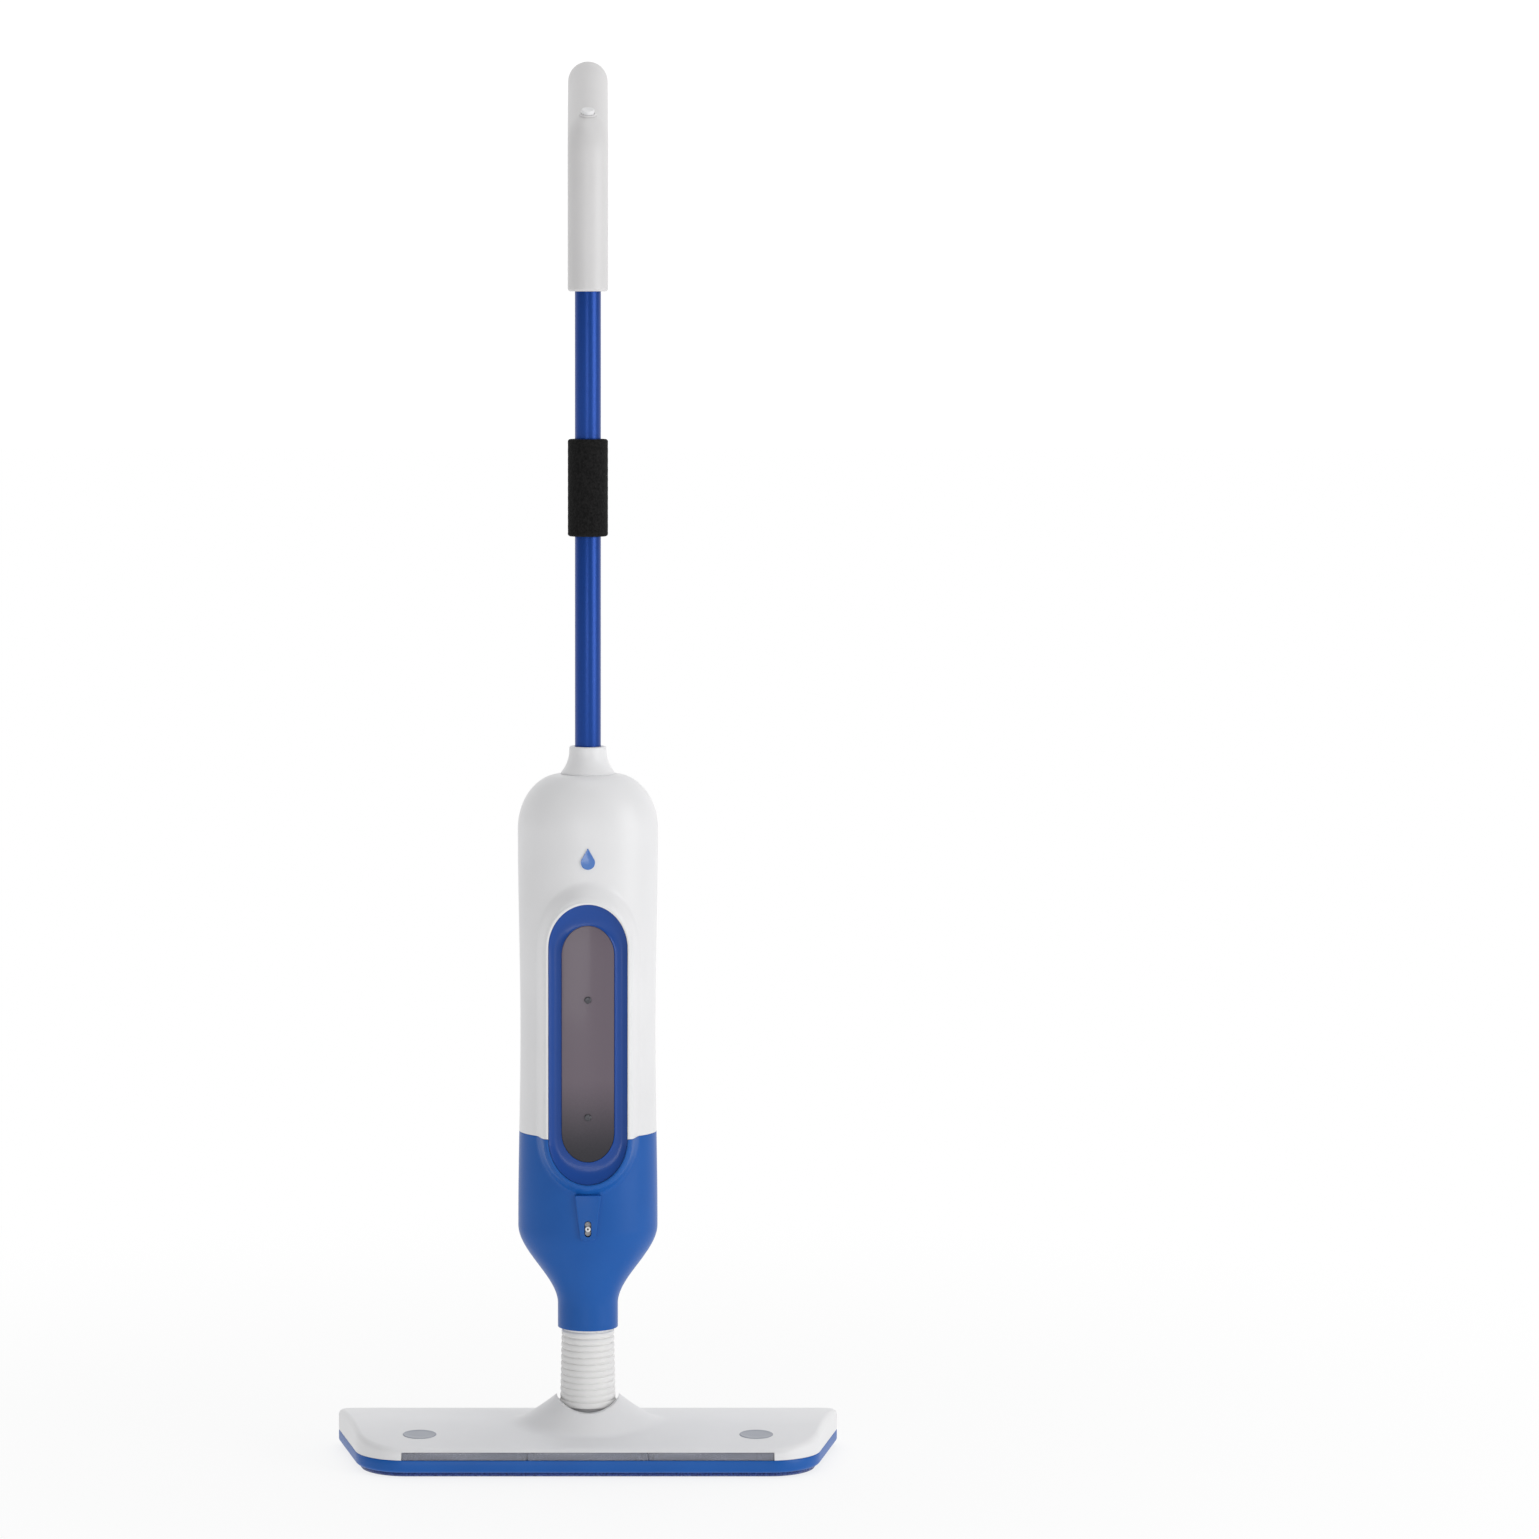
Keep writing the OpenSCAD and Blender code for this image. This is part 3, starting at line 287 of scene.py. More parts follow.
pad_rings = [(4 * mm, 1, 0.04), (4 * mm, 0.5, 0.04), (hem + 1.5 * mm, 0, 0.04), (hem, 0, 0.16),
             (hem - 1 * mm, 0, 0.02), (2 * mm, 0, 0.0), (0.6 * mm, 0, 0.12), (0, 0, 0.4), (0, 0, 0.7),
             (0.5 * mm, 0, 0.9), (1.4 * mm, 0, 0.99), (4 * mm, 0.5, 0.99), (4 * mm, 1, 0.99)]
pad_layers = [(pad_inset + inset, share, level) for inset, share, level in pad_rings]
pad = head_layers("microfibre_pad", pad_layers, pad_height)
smooth_edges(pad, 80)
microfibre = fabric("pad_microfibre", (0.008, 0.022, 0.12), (0.03, 0.075, 0.30), 1.6 * mm)
settle(pad, microfibre, "head", "pad_cloth", "cleaning_pad")

# ---- Head base ----------------------------------------------------------------------------------
# The blue tray that carries the cover, the swivel and the pad. It is moulded in satin plastic, and
# its lower edge is rounded all the way round.


def moulded(name, dark, light, gloss=0.34, grain=0.35 * mm, depth=0.12, coat=0.0, shine=0.4):
    """Moulded plastic: a fine spark-eroded grain, with a slow drift in its tone and its gloss."""
    material, shader, where = blank(name)
    drift = noise(material, where, 14, 4)
    spark = noise(material, where, 1 / grain, 3)
    feed(material, shader, {"Base Color": tone(material, drift, dark, light, 0.3, 0.7),
                            "Roughness": span(material, drift, gloss - 0.05, gloss + 0.06),
                            "Normal": bump(material, spark, depth, grain * 0.25),
                            "Specular IOR Level": shine, "Coat Weight": coat, "Coat Roughness": 0.12})
    return material


blue_plastic = moulded("blue_plastic", (0.008, 0.090, 0.36), (0.011, 0.104, 0.40), shine=0.22)


def tray_height(x, y, level):
    return base_z + level


tray_r = 3.5 * mm
tray_layers = [(10 * mm, 1, 0), (10 * mm, 0.5, 0), (tray_r, 0, 0)]
tray_layers += [(tray_r * (1 - math.sin(a)), 0, tray_r * (1 - math.cos(a))) for a in quarter[1:]]
tray_top = seam_z - base_z - 0.1 * mm
tray_layers += [(0, 0, 6 * mm), (0, 0, tray_top - 0.5 * mm), (0.25 * mm, 0, tray_top - 0.05 * mm)]
tray_layers += [(1 * mm, 0, tray_top), (6 * mm, 0, tray_top), (10 * mm, 0.5, tray_top),
                (10 * mm, 1, tray_top)]
tray = head_layers("base_tray", tray_layers, tray_height)
smooth_edges(tray, 50)
settle(tray, blue_plastic, "head", "blue_shell", "head_base")

# ---- Head cover ---------------------------------------------------------------------------------
# The white lid of the head. It is one moulding that rises to a low crown, with two ears that flare up
# beside the swivel and a slot behind them that lets the body lean back. Screws hold it from below.
crown_h = 21 * mm
front_edge_h = 9 * mm
rear_edge_h = 15.5 * mm
crown_y = 8 * mm
slot_r = 26.5 * mm
slot_back = 56.5 * mm
ear_foot = 48 * mm
ear_depth = 22 * mm
ear_h = 23 * mm
front_rim_h = 12 * mm
cover_r = 4.5 * mm
scoop_h = ear_h - 1 * mm - front_rim_h
scoop_r = (slot_r ** 2 + scoop_h ** 2) / 2 / scoop_h


def crown(y):
    if y < crown_y:
        return crown_h - (crown_h - front_edge_h) * ((crown_y - y) / (crown_y - front_y)) ** 2
    return crown_h - (crown_h - rear_edge_h) * ((y - crown_y) / (rear_y - crown_y)) ** 2


def ear(x, y):
    """Height of the flare at a point, or a low value outside it."""
    if abs(x) > slot_r + ear_foot or abs(y) > slot_r + ear_depth:
        return 0
    low, high = 0.0, 1.0
    if (x / (slot_r + ear_foot)) ** 2 + (y / (slot_r + ear_depth)) ** 2 > 1:
        return 0
    for _ in range(16):
        u = (low + high) / 2
        if (x / (slot_r + ear_foot * u)) ** 2 + (y / (slot_r + ear_depth * u)) ** 2 > 1:
            low = u
        else:
            high = u
    foot = crown(y) - 4 * mm
    rise = foot + (crown_h + ear_h - foot) * (1 - low) ** 1.4
    scoop = scoop_r - math.sqrt(max(0, scoop_r ** 2 - min(abs(x), slot_r + 2 * mm) ** 2))
    return min(rise, crown_h + front_rim_h + scoop)


def soft_max(a, b, blend):
    gap = max(blend - abs(a - b), 0) / blend
    return max(a, b) + gap * gap * blend / 4


def cover_height(x, y, level):
    if level <= 0:
        return seam_z - level
    top = soft_max(crown(y), ear(x, y), 4 * mm)
    return seam_z + top - (cover_r - level)


white_plastic = moulded("white_plastic", (0.74, 0.74, 0.75), (0.78, 0.78, 0.79), gloss=0.36)
cover_layers = [(10 * mm, 1, 0), (10 * mm, 0.5, 0), (0.4 * mm, 0, 0), (0, 0, -0.4 * mm), (0, 0, -4 * mm)]
cover_layers += [(cover_r * (1 - math.cos(a)), 0, cover_r * math.sin(a) + 1e-7) for a in quarter]
cover_layers += [(6 * mm, 0, cover_r), (8 * mm, 0, cover_r), (10 * mm, 0, cover_r)]
cover_layers += [(10 * mm, k / 40, cover_r) for k in range(1, 41)]
cover = head_layers("head_lid", cover_layers, cover_height)


def prism(name, outline, start, end, sketch="XY"):
    """A block with this outline. The sketch is on the floor plane, or stands up in the XZ plane."""
    bpy.ops.object.select_all(action="DESELECT")
    bpy.ops.mesh.primitive_circle_add(vertices=len(outline), fill_type="NGON")
    piece = bpy.context.active_object
    piece.name = name
    piece.data.name = name
    for v, (a, b) in zip(piece.data.vertices, outline):
        v.co = (a, b, start) if sketch == "XY" else (a, start, b)
    bpy.ops.object.mode_set(mode="EDIT")
    bpy.ops.mesh.select_all(action="SELECT")
    step = (0, 0, end - start) if sketch == "XY" else (0, end - start, 0)
    bpy.ops.mesh.extrude_region_move(TRANSFORM_OT_translate={"value": step})
    bpy.ops.mesh.select_all(action="SELECT")
    bpy.ops.mesh.normals_make_consistent(inside=False)
    bpy.ops.object.mode_set(mode="OBJECT")
    return piece


def oblong(x0, x1, z0, z1, r=0, steps=5):
    """The outline of a rectangle, anticlockwise, with its corners rounded to r."""
    if not r:
        return [(x0, z0), (x1, z0), (x1, z1), (x0, z1)]
    return (corner((x1 - r, z1 - r), r, 0, 90, steps) + corner((x0 + r, z1 - r), r, 90, 180, steps)
            + corner((x0 + r, z0 + r), r, 180, 270, steps) + corner((x1 - r, z0 + r), r, 270, 360, steps))


def join(pieces, name):
    """Makes the pieces one, under this name."""
    bpy.ops.object.select_all(action="DESELECT")
    for piece in pieces:
        piece.select_set(True)
    bpy.context.view_layer.objects.active = pieces[0]
    bpy.ops.object.join()
    pieces[0].name = name
    return pieces[0]


def cut(piece, *tools):
    """Takes each tool's shape away from the piece."""
    bpy.context.view_layer.objects.active = piece
    for tool in tools:
        step = piece.modifiers.new("cut", "BOOLEAN")
        step.operation = "DIFFERENCE"
        step.solver = "EXACT"
        step.object = tool
        bpy.ops.object.modifier_apply(modifier="cut")
        bpy.data.objects.remove(tool)


def round_edges(piece, width, segments=2, degrees=35):
    """Rounds every edge that is sharper than the angle."""
    bpy.context.view_layer.objects.active = piece
    step = piece.modifiers.new("round", "BEVEL")
    step.width = width
    step.segments = segments
    step.limit_method = "ANGLE"
    step.angle_limit = math.radians(degrees)
    step.use_clamp_overlap = True
    bpy.ops.object.modifier_apply(modifier="round")


swivel_slot = corner((0, 0), slot_r, 180, 360, 45)
swivel_slot += corner((slot_r - 5 * mm, slot_back - 5 * mm), 5 * mm, 0, 90, 6)
swivel_slot += corner((5 * mm - slot_r, slot_back - 5 * mm), 5 * mm, 90, 180, 6)
strip_low, strip_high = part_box("front_strip")
strip_gap = 0.3 * mm
strip_bay = prism("strip_bay", oblong(strip_low.x - strip_gap, strip_high.x + strip_gap,
                                      front_y - 2 * mm, front_y + 6.6 * mm),
                  seam_z - 1 * mm, strip_high.z + strip_gap)
cut(cover, prism("swivel_slot", swivel_slot, seam_z - 2 * mm, cover_high.z + 20 * mm), strip_bay)
smooth_edges(cover, 30)
settle(cover, white_plastic, "head", "white_shell", "head_cover")

# The slot's lip: a thin rounded rim that follows the front of the slot over the ears
lip_steps = 60


def lip_point(i, j):
    a = math.radians(180 + 180 * i / lip_steps)
    turn = 2 * math.pi * j / 8
    reach = slot_r + 0.5 * mm + 0.6 * mm * math.cos(turn)
    x, y = (slot_r + 0.5 * mm) * math.cos(a), (slot_r + 0.5 * mm) * math.sin(a)
    top = soft_max(crown(y), ear(x * 1.005, y * 1.005), 4 * mm)
    return (reach * math.cos(a), reach * math.sin(a), seam_z + top - 0.45 * mm + 0.6 * mm * math.sin(turn))


lip = skin("slot_lip", lip_steps, 8, lip_point)
smooth_edges(lip, 60)
settle(lip, white_plastic, "head", "white_shell")

# ---- Clear strip and its clips ------------------------------------------------------------------
# Three lengths of clear grey plastic close the front of the head. Each is held by pale clips behind
# it, which show through as soft shapes near the joints.


def clear(name, tint, roughness, through):
    """Clear plastic, a little cloudy, with a faint flow pattern in its gloss."""
    material, shader, where = blank(name)
    flow = noise(material, where, 40)
    feed(material, shader, {"Base Color": tone(material, flow, [c * 0.92 for c in tint], tint),
                            "Roughness": span(material, flow, roughness * 0.7, roughness * 1.3),
                            "Transmission Weight": through, "IOR": 1.49})
    return material


clear_strip = clear("strip_clear", (0.60, 0.62, 0.70), 0.16, 0.8)
joint_x = 51.5 * mm
strip_gap_x = 0.25 * mm
edges = [strip_low.x, -joint_x, joint_x, strip_high.x]
for k in range(3):
    x0, x1 = edges[k] + strip_gap_x, edges[k + 1] - strip_gap_x
    face = front_y + 0.35 * mm
    bar = prism(f"clear_strip_{k + 1}", oblong(x0, x1, face, face + 2.4 * mm), seam_z + 0.1 * mm,
                strip_high.z)
    round_edges(bar, 0.5 * mm, 3)
    smooth_edges(bar)
    settle(bar, clear_strip, "head", "clear_strip", *(["front_strip"] if k == 1 else []))

clip_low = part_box("strip_clips")[0]
clip_xs = [43.7 * mm, 58 * mm, 145.5 * mm]
clip_half = 2.1 * mm
clip_plastic = moulded("clip_plastic", (0.72, 0.73, 0.75), (0.80, 0.81, 0.83), gloss=0.45)
clips = []
for side in (-1, 1):
    for x in clip_xs:
        mid = side * x
        top = seam_z + 4.6 * mm
        outline = [(mid - clip_half, clip_low.z), (mid + clip_half, clip_low.z)] + \
            corner((mid, top - clip_half), clip_half, 0, 180, 8)
        clip = prism("clip", outline, front_y + 2.8 * mm, front_y + 5.6 * mm, "XZ")
        round_edges(clip, 0.5 * mm)
        clips.append(clip)
clip_row = join(clips, "clip_row")
smooth_edges(clip_row)
settle(clip_row, clip_plastic, "head", "white_shell", "strip_clips")

# ---- Badges -------------------------------------------------------------------------------------
# Two blank oval plates, bonded to the cover's front slope. Each is a thin domed moulding with a
# raised rim, and carries no mark.
badge_low, badge_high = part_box("badge_plates")
badge_half = 14.3 * mm
badge_x = badge_high.x - badge_half
badge_y = (badge_low.y + badge_high.y) / 2
badge_depth = 9 * mm
badge_grey = moulded("badge_grey", (0.24, 0.26, 0.31), (0.32, 0.34, 0.39), gloss=0.28, coat=0.5)
badge_rings = [(1.0, -0.4), (1.0, 0.25), (0.97, 0.5), (0.92, 0.55),
               (0.88, 0.4), (0.85, 0.3), (0.5, 0.42), (0.0, 0.48)]
for side in (-1, 1):
    def badge_point(i, j):
        a = 2 * math.pi * i / 64
        share, rise = badge_rings[j]
        x = side * badge_x + badge_half * share * math.cos(a)
        y = badge_y + badge_depth * share * math.sin(a)
        return (x, y, seam_z + crown(y) + rise * mm)

    badge = skin("badge_" + ("left" if side < 0 else "right"), 64, len(badge_rings) - 1, badge_point)
    smooth_edges(badge, 60)
    settle(badge, badge_grey, "head", "badge", *(["badge_plates"] if side > 0 else []))

# ---- Head fastenings ----------------------------------------------------------------------------
# Hook strips under the tray, six steel screws from below, two steel pitch pins, and the leaf spring
# that holds the swivel upright.


def metal(name, colour, roughness, brush):
    """Drawn or turned steel: fine lines in its gloss and a slight unevenness in its tone."""
    material, shader, where = blank(name)
    drawn = add(material, "ShaderNodeMapping", {"Vector": where, "Scale": (1, 1, 12)})
    lines = noise(material, drawn, brush, 4)
    feed(material, shader, {"Base Color": tone(material, lines, [c * 0.8 for c in colour], colour),
                            "Roughness": span(material, lines, roughness - 0.08, roughness + 0.1),
                            "Metallic": 1.0})
    return material


steel = metal("steel", (0.62, 0.63, 0.65), 0.3, 260)
# A darker copy of the steel for the window's screws: its darkness is painted shade.
shaded_steel = metal("shaded_steel", (0.10, 0.10, 0.11), 0.38, 300)


def dress(material, *nodes):
    """Gives parts of the frame their finish."""
    for node in nodes:
        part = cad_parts[node]
        part.data.materials.clear()
        part.data.materials.append(material)


dress(fabric("hook_tape", (0.006, 0.006, 0.007), (0.03, 0.03, 0.032), 0.9 * mm), "hook_strips")
dress(steel, "head_screws", "pitch_pins", "detent_spring")

# ---- Swivel -------------------------------------------------------------------------------------
# A grey nylon knuckle pitches on two pins in the head, and the body's stem tilts on a cross pin
# through the knuckle's fork.
grey_nylon = moulded("grey_nylon", (0.30, 0.30, 0.31), (0.36, 0.36, 0.37), gloss=0.45)
black_nylon = moulded("black_nylon", (0.018, 0.018, 0.02), (0.028, 0.028, 0.03), gloss=0.42)
dress(grey_nylon, "swivel_knuckle", "swivel_stem")
dress(black_nylon, "pivot_bushes")
dress(steel, "tilt_pin")

# ---- Boot ---------------------------------------------------------------------------------------
# A ribbed sleeve of soft white rubber hides the swivel. Its foot is clamped by a plain ring with
# rounded edges, and its top is tucked under the body's neck.
ring_low, ring_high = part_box("boot_clamp_ring")
boot_low, boot_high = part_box("ribbed_boot")


def turned(name, levels, sides=96):
    """A round piece: a circle extruded level by level, each level (radius, z) drawn in or out."""
    bpy.ops.object.select_all(action="DESELECT")
    r0, z0 = levels[0]
    bpy.ops.mesh.primitive_circle_add(vertices=sides, radius=r0, location=(0, 0, z0))
    piece = bpy.context.active_object
    piece.name = name
    piece.data.name = name
    bpy.ops.object.transform_apply(location=True, rotation=True, scale=True)
    bpy.ops.object.mode_set(mode="EDIT")
    bpy.ops.mesh.select_all(action="SELECT")
    for r, z in levels[1:]:
        bpy.ops.mesh.extrude_region_move(TRANSFORM_OT_translate={"value": (0, 0, z - z0)})
        bpy.ops.transform.resize(value=(r / r0, r / r0, 1), center_override=(0, 0, z))
        r0, z0 = r, z
    bpy.ops.mesh.select_all(action="SELECT")
    bpy.ops.mesh.remove_doubles(threshold=0.000005)
    bpy.ops.mesh.normals_make_consistent(inside=False)
    bpy.ops.object.mode_set(mode="OBJECT")
    return piece


def rounded(r_in, r_out, z0, z1, edge, steps=4):
    """The section of a round tube with its four corners rounded, closed on itself."""
    corners = [(r_out - edge, z0 + edge, -90), (r_out - edge, z1 - edge, 0),
               (r_in + edge, z1 - edge, 90), (r_in + edge, z0 + edge, 180)]
    points = [point for r, z, a in corners for point in corner((r, z), edge, a, a + 90, steps)]
    return points + points[:1]


soft_white = moulded("boot_rubber", (0.77, 0.765, 0.76), (0.81, 0.805, 0.80), gloss=0.52, grain=0.25 * mm,
                     depth=0.2)
clamp = turned("clamp_ring", rounded(ring_high.x - 5 * mm, ring_high.x, ring_low.z, ring_high.z, 1.6 * mm, 5))
smooth_edges(clamp, 50)
settle(clamp, soft_white, "knuckle", "boot_rubber", "boot_clamp_ring")

boot_base_r = boot_high.x
boot_top_r = 22.5 * mm
rib_pitch = 5.45 * mm
rib_depth = 1.15 * mm
boot_levels = []
boot_steps = int((boot_high.z - boot_low.z) / rib_pitch * 10)
for k in range(boot_steps + 1):
    z = boot_low.z + (boot_high.z - boot_low.z) * k / boot_steps
    base_r = boot_base_r + (boot_top_r - boot_base_r) * k / boot_steps
    phase = ((z - boot_low.z) / rib_pitch + 0.45) % 1
    groove = math.exp(-((phase - 0.5) / 0.10) ** 2)
    swell = 0.25 * mm * math.cos(2 * math.pi * (phase - 0.05))
    boot_levels.append((base_r - rib_depth * groove + swell * 0.6 - 0.2 * mm, z))
wall_in = 2.2 * mm
boot_levels += [(boot_levels[-1][0] - wall_in, boot_high.z), (boot_levels[0][0] - wall_in, boot_low.z),
                boot_levels[0]]
boot = turned("ribbed_sleeve", boot_levels)
smooth_edges(boot, 70)
boot.data.materials.append(soft_white)
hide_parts("ribbed_boot")
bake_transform(boot)

# ---- Lower body shells --------------------------------------------------------------------------
# The blue half of the body: a front and a rear shell that open from a round neck to the full oval,
# screwed together from behind. The front one carries the foot of the window's frame and a tongue with
# the slot for the nozzle.
neck_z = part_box("lower_rear_shell")[0].z
top_low, top_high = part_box("upper_rear_shell")
hood_face = -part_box("upper_front_shell")[0].y
body_seam = top_low.z
body_top = top_high.z
body_half = top_high.x
body_deep = top_high.y
neck_r = 25.7 * mm
taper_z = neck_z + 20 * mm
full_z = taper_z + 68 * mm
shoulder_h = 46.5 * mm
shoulder_z = body_top - shoulder_h
collar_low, collar_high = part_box("pole_collar")
collar_r = collar_high.x
waist_in = 2 * mm
shell_wall = 3 * mm
window_half = 33.5 * mm
window_end = 38 * mm
window_low = body_top - (105.5 + 238.5) * mm
window_high = body_top - 105.5 * mm
hood_rim = 10.5 * mm
hood_top_rim = 19 * mm
hood_bend = 110 * mm
lip_w = 3.2 * mm


def smooth(u):
    u = max(0.0, min(1.0, u))
    return u * u * (3 - 2 * u)


def half_at(z, full):
    waist = math.sin(math.pi * max(0, min(1, (z - full_z) / (shoulder_z - full_z)))) ** 2
    return neck_r + (full - neck_r) * smooth((z - taper_z) / (full_z - taper_z)) - waist_in * waist


def section(level):
    """Height, half width and half depth. Above the shoulder's start a level is an angle of its dome."""
    kind, value = level
    if kind == "side":
        return value, half_at(value, body_half), half_at(value, body_deep)
    if kind == "dome":
        a = math.radians(value)
        return (shoulder_z + shoulder_h * math.sin(a), collar_r + (body_half - collar_r) * math.cos(a),
                collar_r + (body_deep - collar_r) * math.cos(a))
    return body_top, value, value


def hood_y(x):
    return -hood_face + hood_bend - math.sqrt(hood_bend ** 2 - min(abs(x), body_half) ** 2)


def hood_share(x, z):
    """1 on the window's frame, 0 on the body round it, and a soft step between."""
    inner = window_half + lip_w
    low, high = window_low + window_end, window_high - window_end
    if low <= z <= high:
        return 1 - smooth((abs(x) - inner) / (hood_rim - lip_w))
    drop = z - high if z > high else low - z
    outer_end = window_end + (hood_top_rim if z > high else hood_rim)
    a = math.hypot(x / inner, drop / (window_end + lip_w)) - 1
    b = 1 - math.hypot(x / (window_half + hood_rim), drop / outer_end)
    if a <= 0:
        return 1
    if b <= 0:
        return 0
    return 1 - smooth(a / (a + b))


def body_point(level, a, hooded):
    z, w, d = section(level)
    x, y = w * math.cos(a), d * math.sin(a)
    if hooded:
        y += (min(y, hood_y(x)) - y) * hood_share(x, z)
    return (x, y, z)


def thicken(piece, middle, start, thickness):
    """Gives a half skin its wall, inward. Its middle face shows which way it faces."""
    if middle.normal.y * (-1 if start else 1) < 0:
        piece.data.flip_normals()
    bpy.context.view_layer.objects.active = piece
    wall = piece.modifiers.new("wall", "SOLIDIFY")
    wall.thickness = thickness
    wall.offset = -1
    bpy.ops.object.modifier_apply(modifier="wall")


def shell(name, levels, start, columns, hooded):
    """Half of the body's skin, given its wall and eased edges."""
    piece = skin(name, columns, len(levels) - 1,
                 lambda i, j: body_point(levels[j], start + math.pi * i / columns, hooded))
    thicken(piece, piece.data.polygons[len(piece.data.polygons) // 2], start, shell_wall)
    round_edges(piece, 0.45 * mm, 2, 55)
    return piece


def steps(start, end, pitch):
    count = max(1, round((end - start) / pitch))
    return [("side", start + (end - start) * i / count) for i in range(count + 1)]


def arch(half, z0, z1, end):
    """The window's outline: straight sides and elliptic ends, from the right, anticlockwise."""
    def bow(centre, start):
        angles = [math.radians(a) for a in range(start, start + 181, 4)]
        return [(half * math.cos(a), centre + end * math.sin(a)) for a in angles]

    return bow(z1 - end, 0) + bow(z0 + end, 180)


def bore(x, z, r, y0, y1, sides=32):
    return prism("bore", corner((x, z), r, 0, 360, sides)[:-1], y0, y1, "XZ")


def window_lip(name, start, end):
    """The rounded bead round the window's opening, from one angle of its end to the other."""
    mid_half = window_half + lip_w / 2
    points = []
    for a in [start + (end - start) * i / 48 for i in range(49)]:
        rad = math.radians(a)
        centre = window_high - window_end if end <= 180 else window_low + window_end
        points.append((mid_half * math.cos(rad), centre + (window_end + lip_w / 2) * math.sin(rad)))
    first, last = points[0], points[-1]
    seam = body_seam + (0.3 * mm if end <= 180 else -0.3 * mm)
    lead = [(first[0], seam + (first[1] - seam) * i / 30) for i in range(30)]
    tail = [(last[0], last[1] + (seam - last[1]) * i / 30) for i in range(1, 31)]
    route = lead + points + tail

    def place(i, j):
        before, after = route[max(0, i - 1)], route[min(len(route) - 1, i + 1)]
        run = math.hypot(after[0] - before[0], after[1] - before[1])
        nx, nz = (after[1] - before[1]) / run, -(after[0] - before[0]) / run
        turn = 2 * math.pi * j / 12
        x = route[i][0] + nx * lip_w / 2 * math.cos(turn)
        z = route[i][1] + nz * lip_w / 2 * math.cos(turn)
        return (x, hood_y(x) + 0.5 * mm - 1.2 * mm * math.sin(turn), z)

    return skin(name, len(route) - 1, 12, place)


seam_gap = 0.05 * mm
low_levels = steps(neck_z, taper_z, 4 * mm) + steps(taper_z, full_z, 1.7 * mm)[1:]
low_levels += steps(full_z, body_seam - seam_gap, 1.6 * mm)[1:]
lower_front = shell("lower_front_casing", low_levels, math.pi, 130, True)
window_hole = arch(window_half, window_low, window_high, window_end)
nozzle_z = full_z + 4 * mm
slot_end_r = 2.9 * mm
nozzle_slot = corner((0, nozzle_z + 4 * mm), slot_end_r, 0, 180, 12)
nozzle_slot += corner((0, nozzle_z - 4 * mm), slot_end_r, 180, 360, 12)
cut(lower_front, prism("window_hole", window_hole, -80 * mm, 0, "XZ"),
    prism("nozzle_slot", nozzle_slot, -60 * mm, -20 * mm, "XZ"))
tongue_face = body_deep + 2.2 * mm
tongue_z = nozzle_z - 10 * mm
tongue_side = [(3.2, 0), (5.4, 0.8), (7.0, 3.2), (7.6, 10), (9.4, 24), (11.2, 39)]     # half width, height
tongue_outline = [(-w * mm, tongue_z + h * mm) for w, h in reversed(tongue_side)]
tongue_outline += [(w * mm, tongue_z + h * mm) for w, h in tongue_side]
tongue = prism("tongue", tongue_outline, -tongue_face, -body_deep + 2.5 * mm, "XZ")
round_edges(tongue, 0.9 * mm, 4, 40)
cut(tongue, prism("nozzle_slot", nozzle_slot, -60 * mm, -20 * mm, "XZ"))
lower_lip = window_lip("lower_lip", 180, 360)
join([lower_front, tongue, lower_lip], "lower_front_casing")
smooth_edges(lower_front, 32)
settle(lower_front, blue_plastic, "mop", "blue_shell", "lower_front_shell")

rear_levels = steps(neck_z, taper_z, 4 * mm) + steps(taper_z, full_z, 2 * mm)[1:]
rear_levels += steps(full_z, body_seam - seam_gap, 3 * mm)[1:]
lower_rear = shell("lower_rear_casing", rear_levels, 0, 90, False)
screw_x = body_half - 17.5 * mm
screw_bore_r = 3.8 * mm


def screw_bores(heights):
    return [bore(s * screw_x, z, screw_bore_r, 18 * mm, 60 * mm) for s in (-1, 1) for z in heights]


lower_screw_zs = [body_seam - 25 * mm, full_z + 6 * mm]
flap_low, flap_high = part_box("socket_flap")
flap_mid = (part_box("charge_socket")[0].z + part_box("charge_socket")[1].z) / 2
cut(lower_rear, *screw_bores(lower_screw_zs),
    bore(0, flap_mid, 6.5 * mm, 18 * mm, 60 * mm, 48))
seat_half = 12 * mm
seat_outline = oblong(-seat_half, seat_half, flap_mid - seat_half, flap_mid + seat_half, 3 * mm)
flap_seat = prism("flap_seat", seat_outline, body_deep - 8 * mm, body_deep + 1 * mm, "XZ")
round_edges(flap_seat, 0.6 * mm, 3)
cut(flap_seat, bore(0, flap_mid, 6.5 * mm, 18 * mm, 60 * mm, 48))
pin_low, pin_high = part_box("flap_pin")
pin_y, pin_z = (pin_low.y + pin_high.y) / 2, (pin_low.z + pin_high.z) / 2
lugs = []
for side in (-1, 1):
    lug = prism("lug", [(body_deep - 6 * mm, pin_z - 2.2 * mm)]
                + [(pin_y + dy, pin_z + dz) for dy, dz in corner((0, 0), 2.2 * mm, -90, 90, 10)]
                + [(body_deep - 6 * mm, pin_z + 2.2 * mm)], 0, 3 * mm, "XZ")
    lug.data.transform(Matrix.Rotation(math.pi / 2, 4, "Z"))
    lug.data.transform(Matrix.Translation((8.2 * mm + 3 * mm if side > 0 else -8.2 * mm, 0, 0)))
    round_edges(lug, 0.4 * mm)
    lugs.append(lug)
join([lower_rear, flap_seat] + lugs, "lower_rear_casing")
smooth_edges(lower_rear, 32)
settle(lower_rear, blue_plastic, "mop", "blue_shell", "lower_rear_shell")

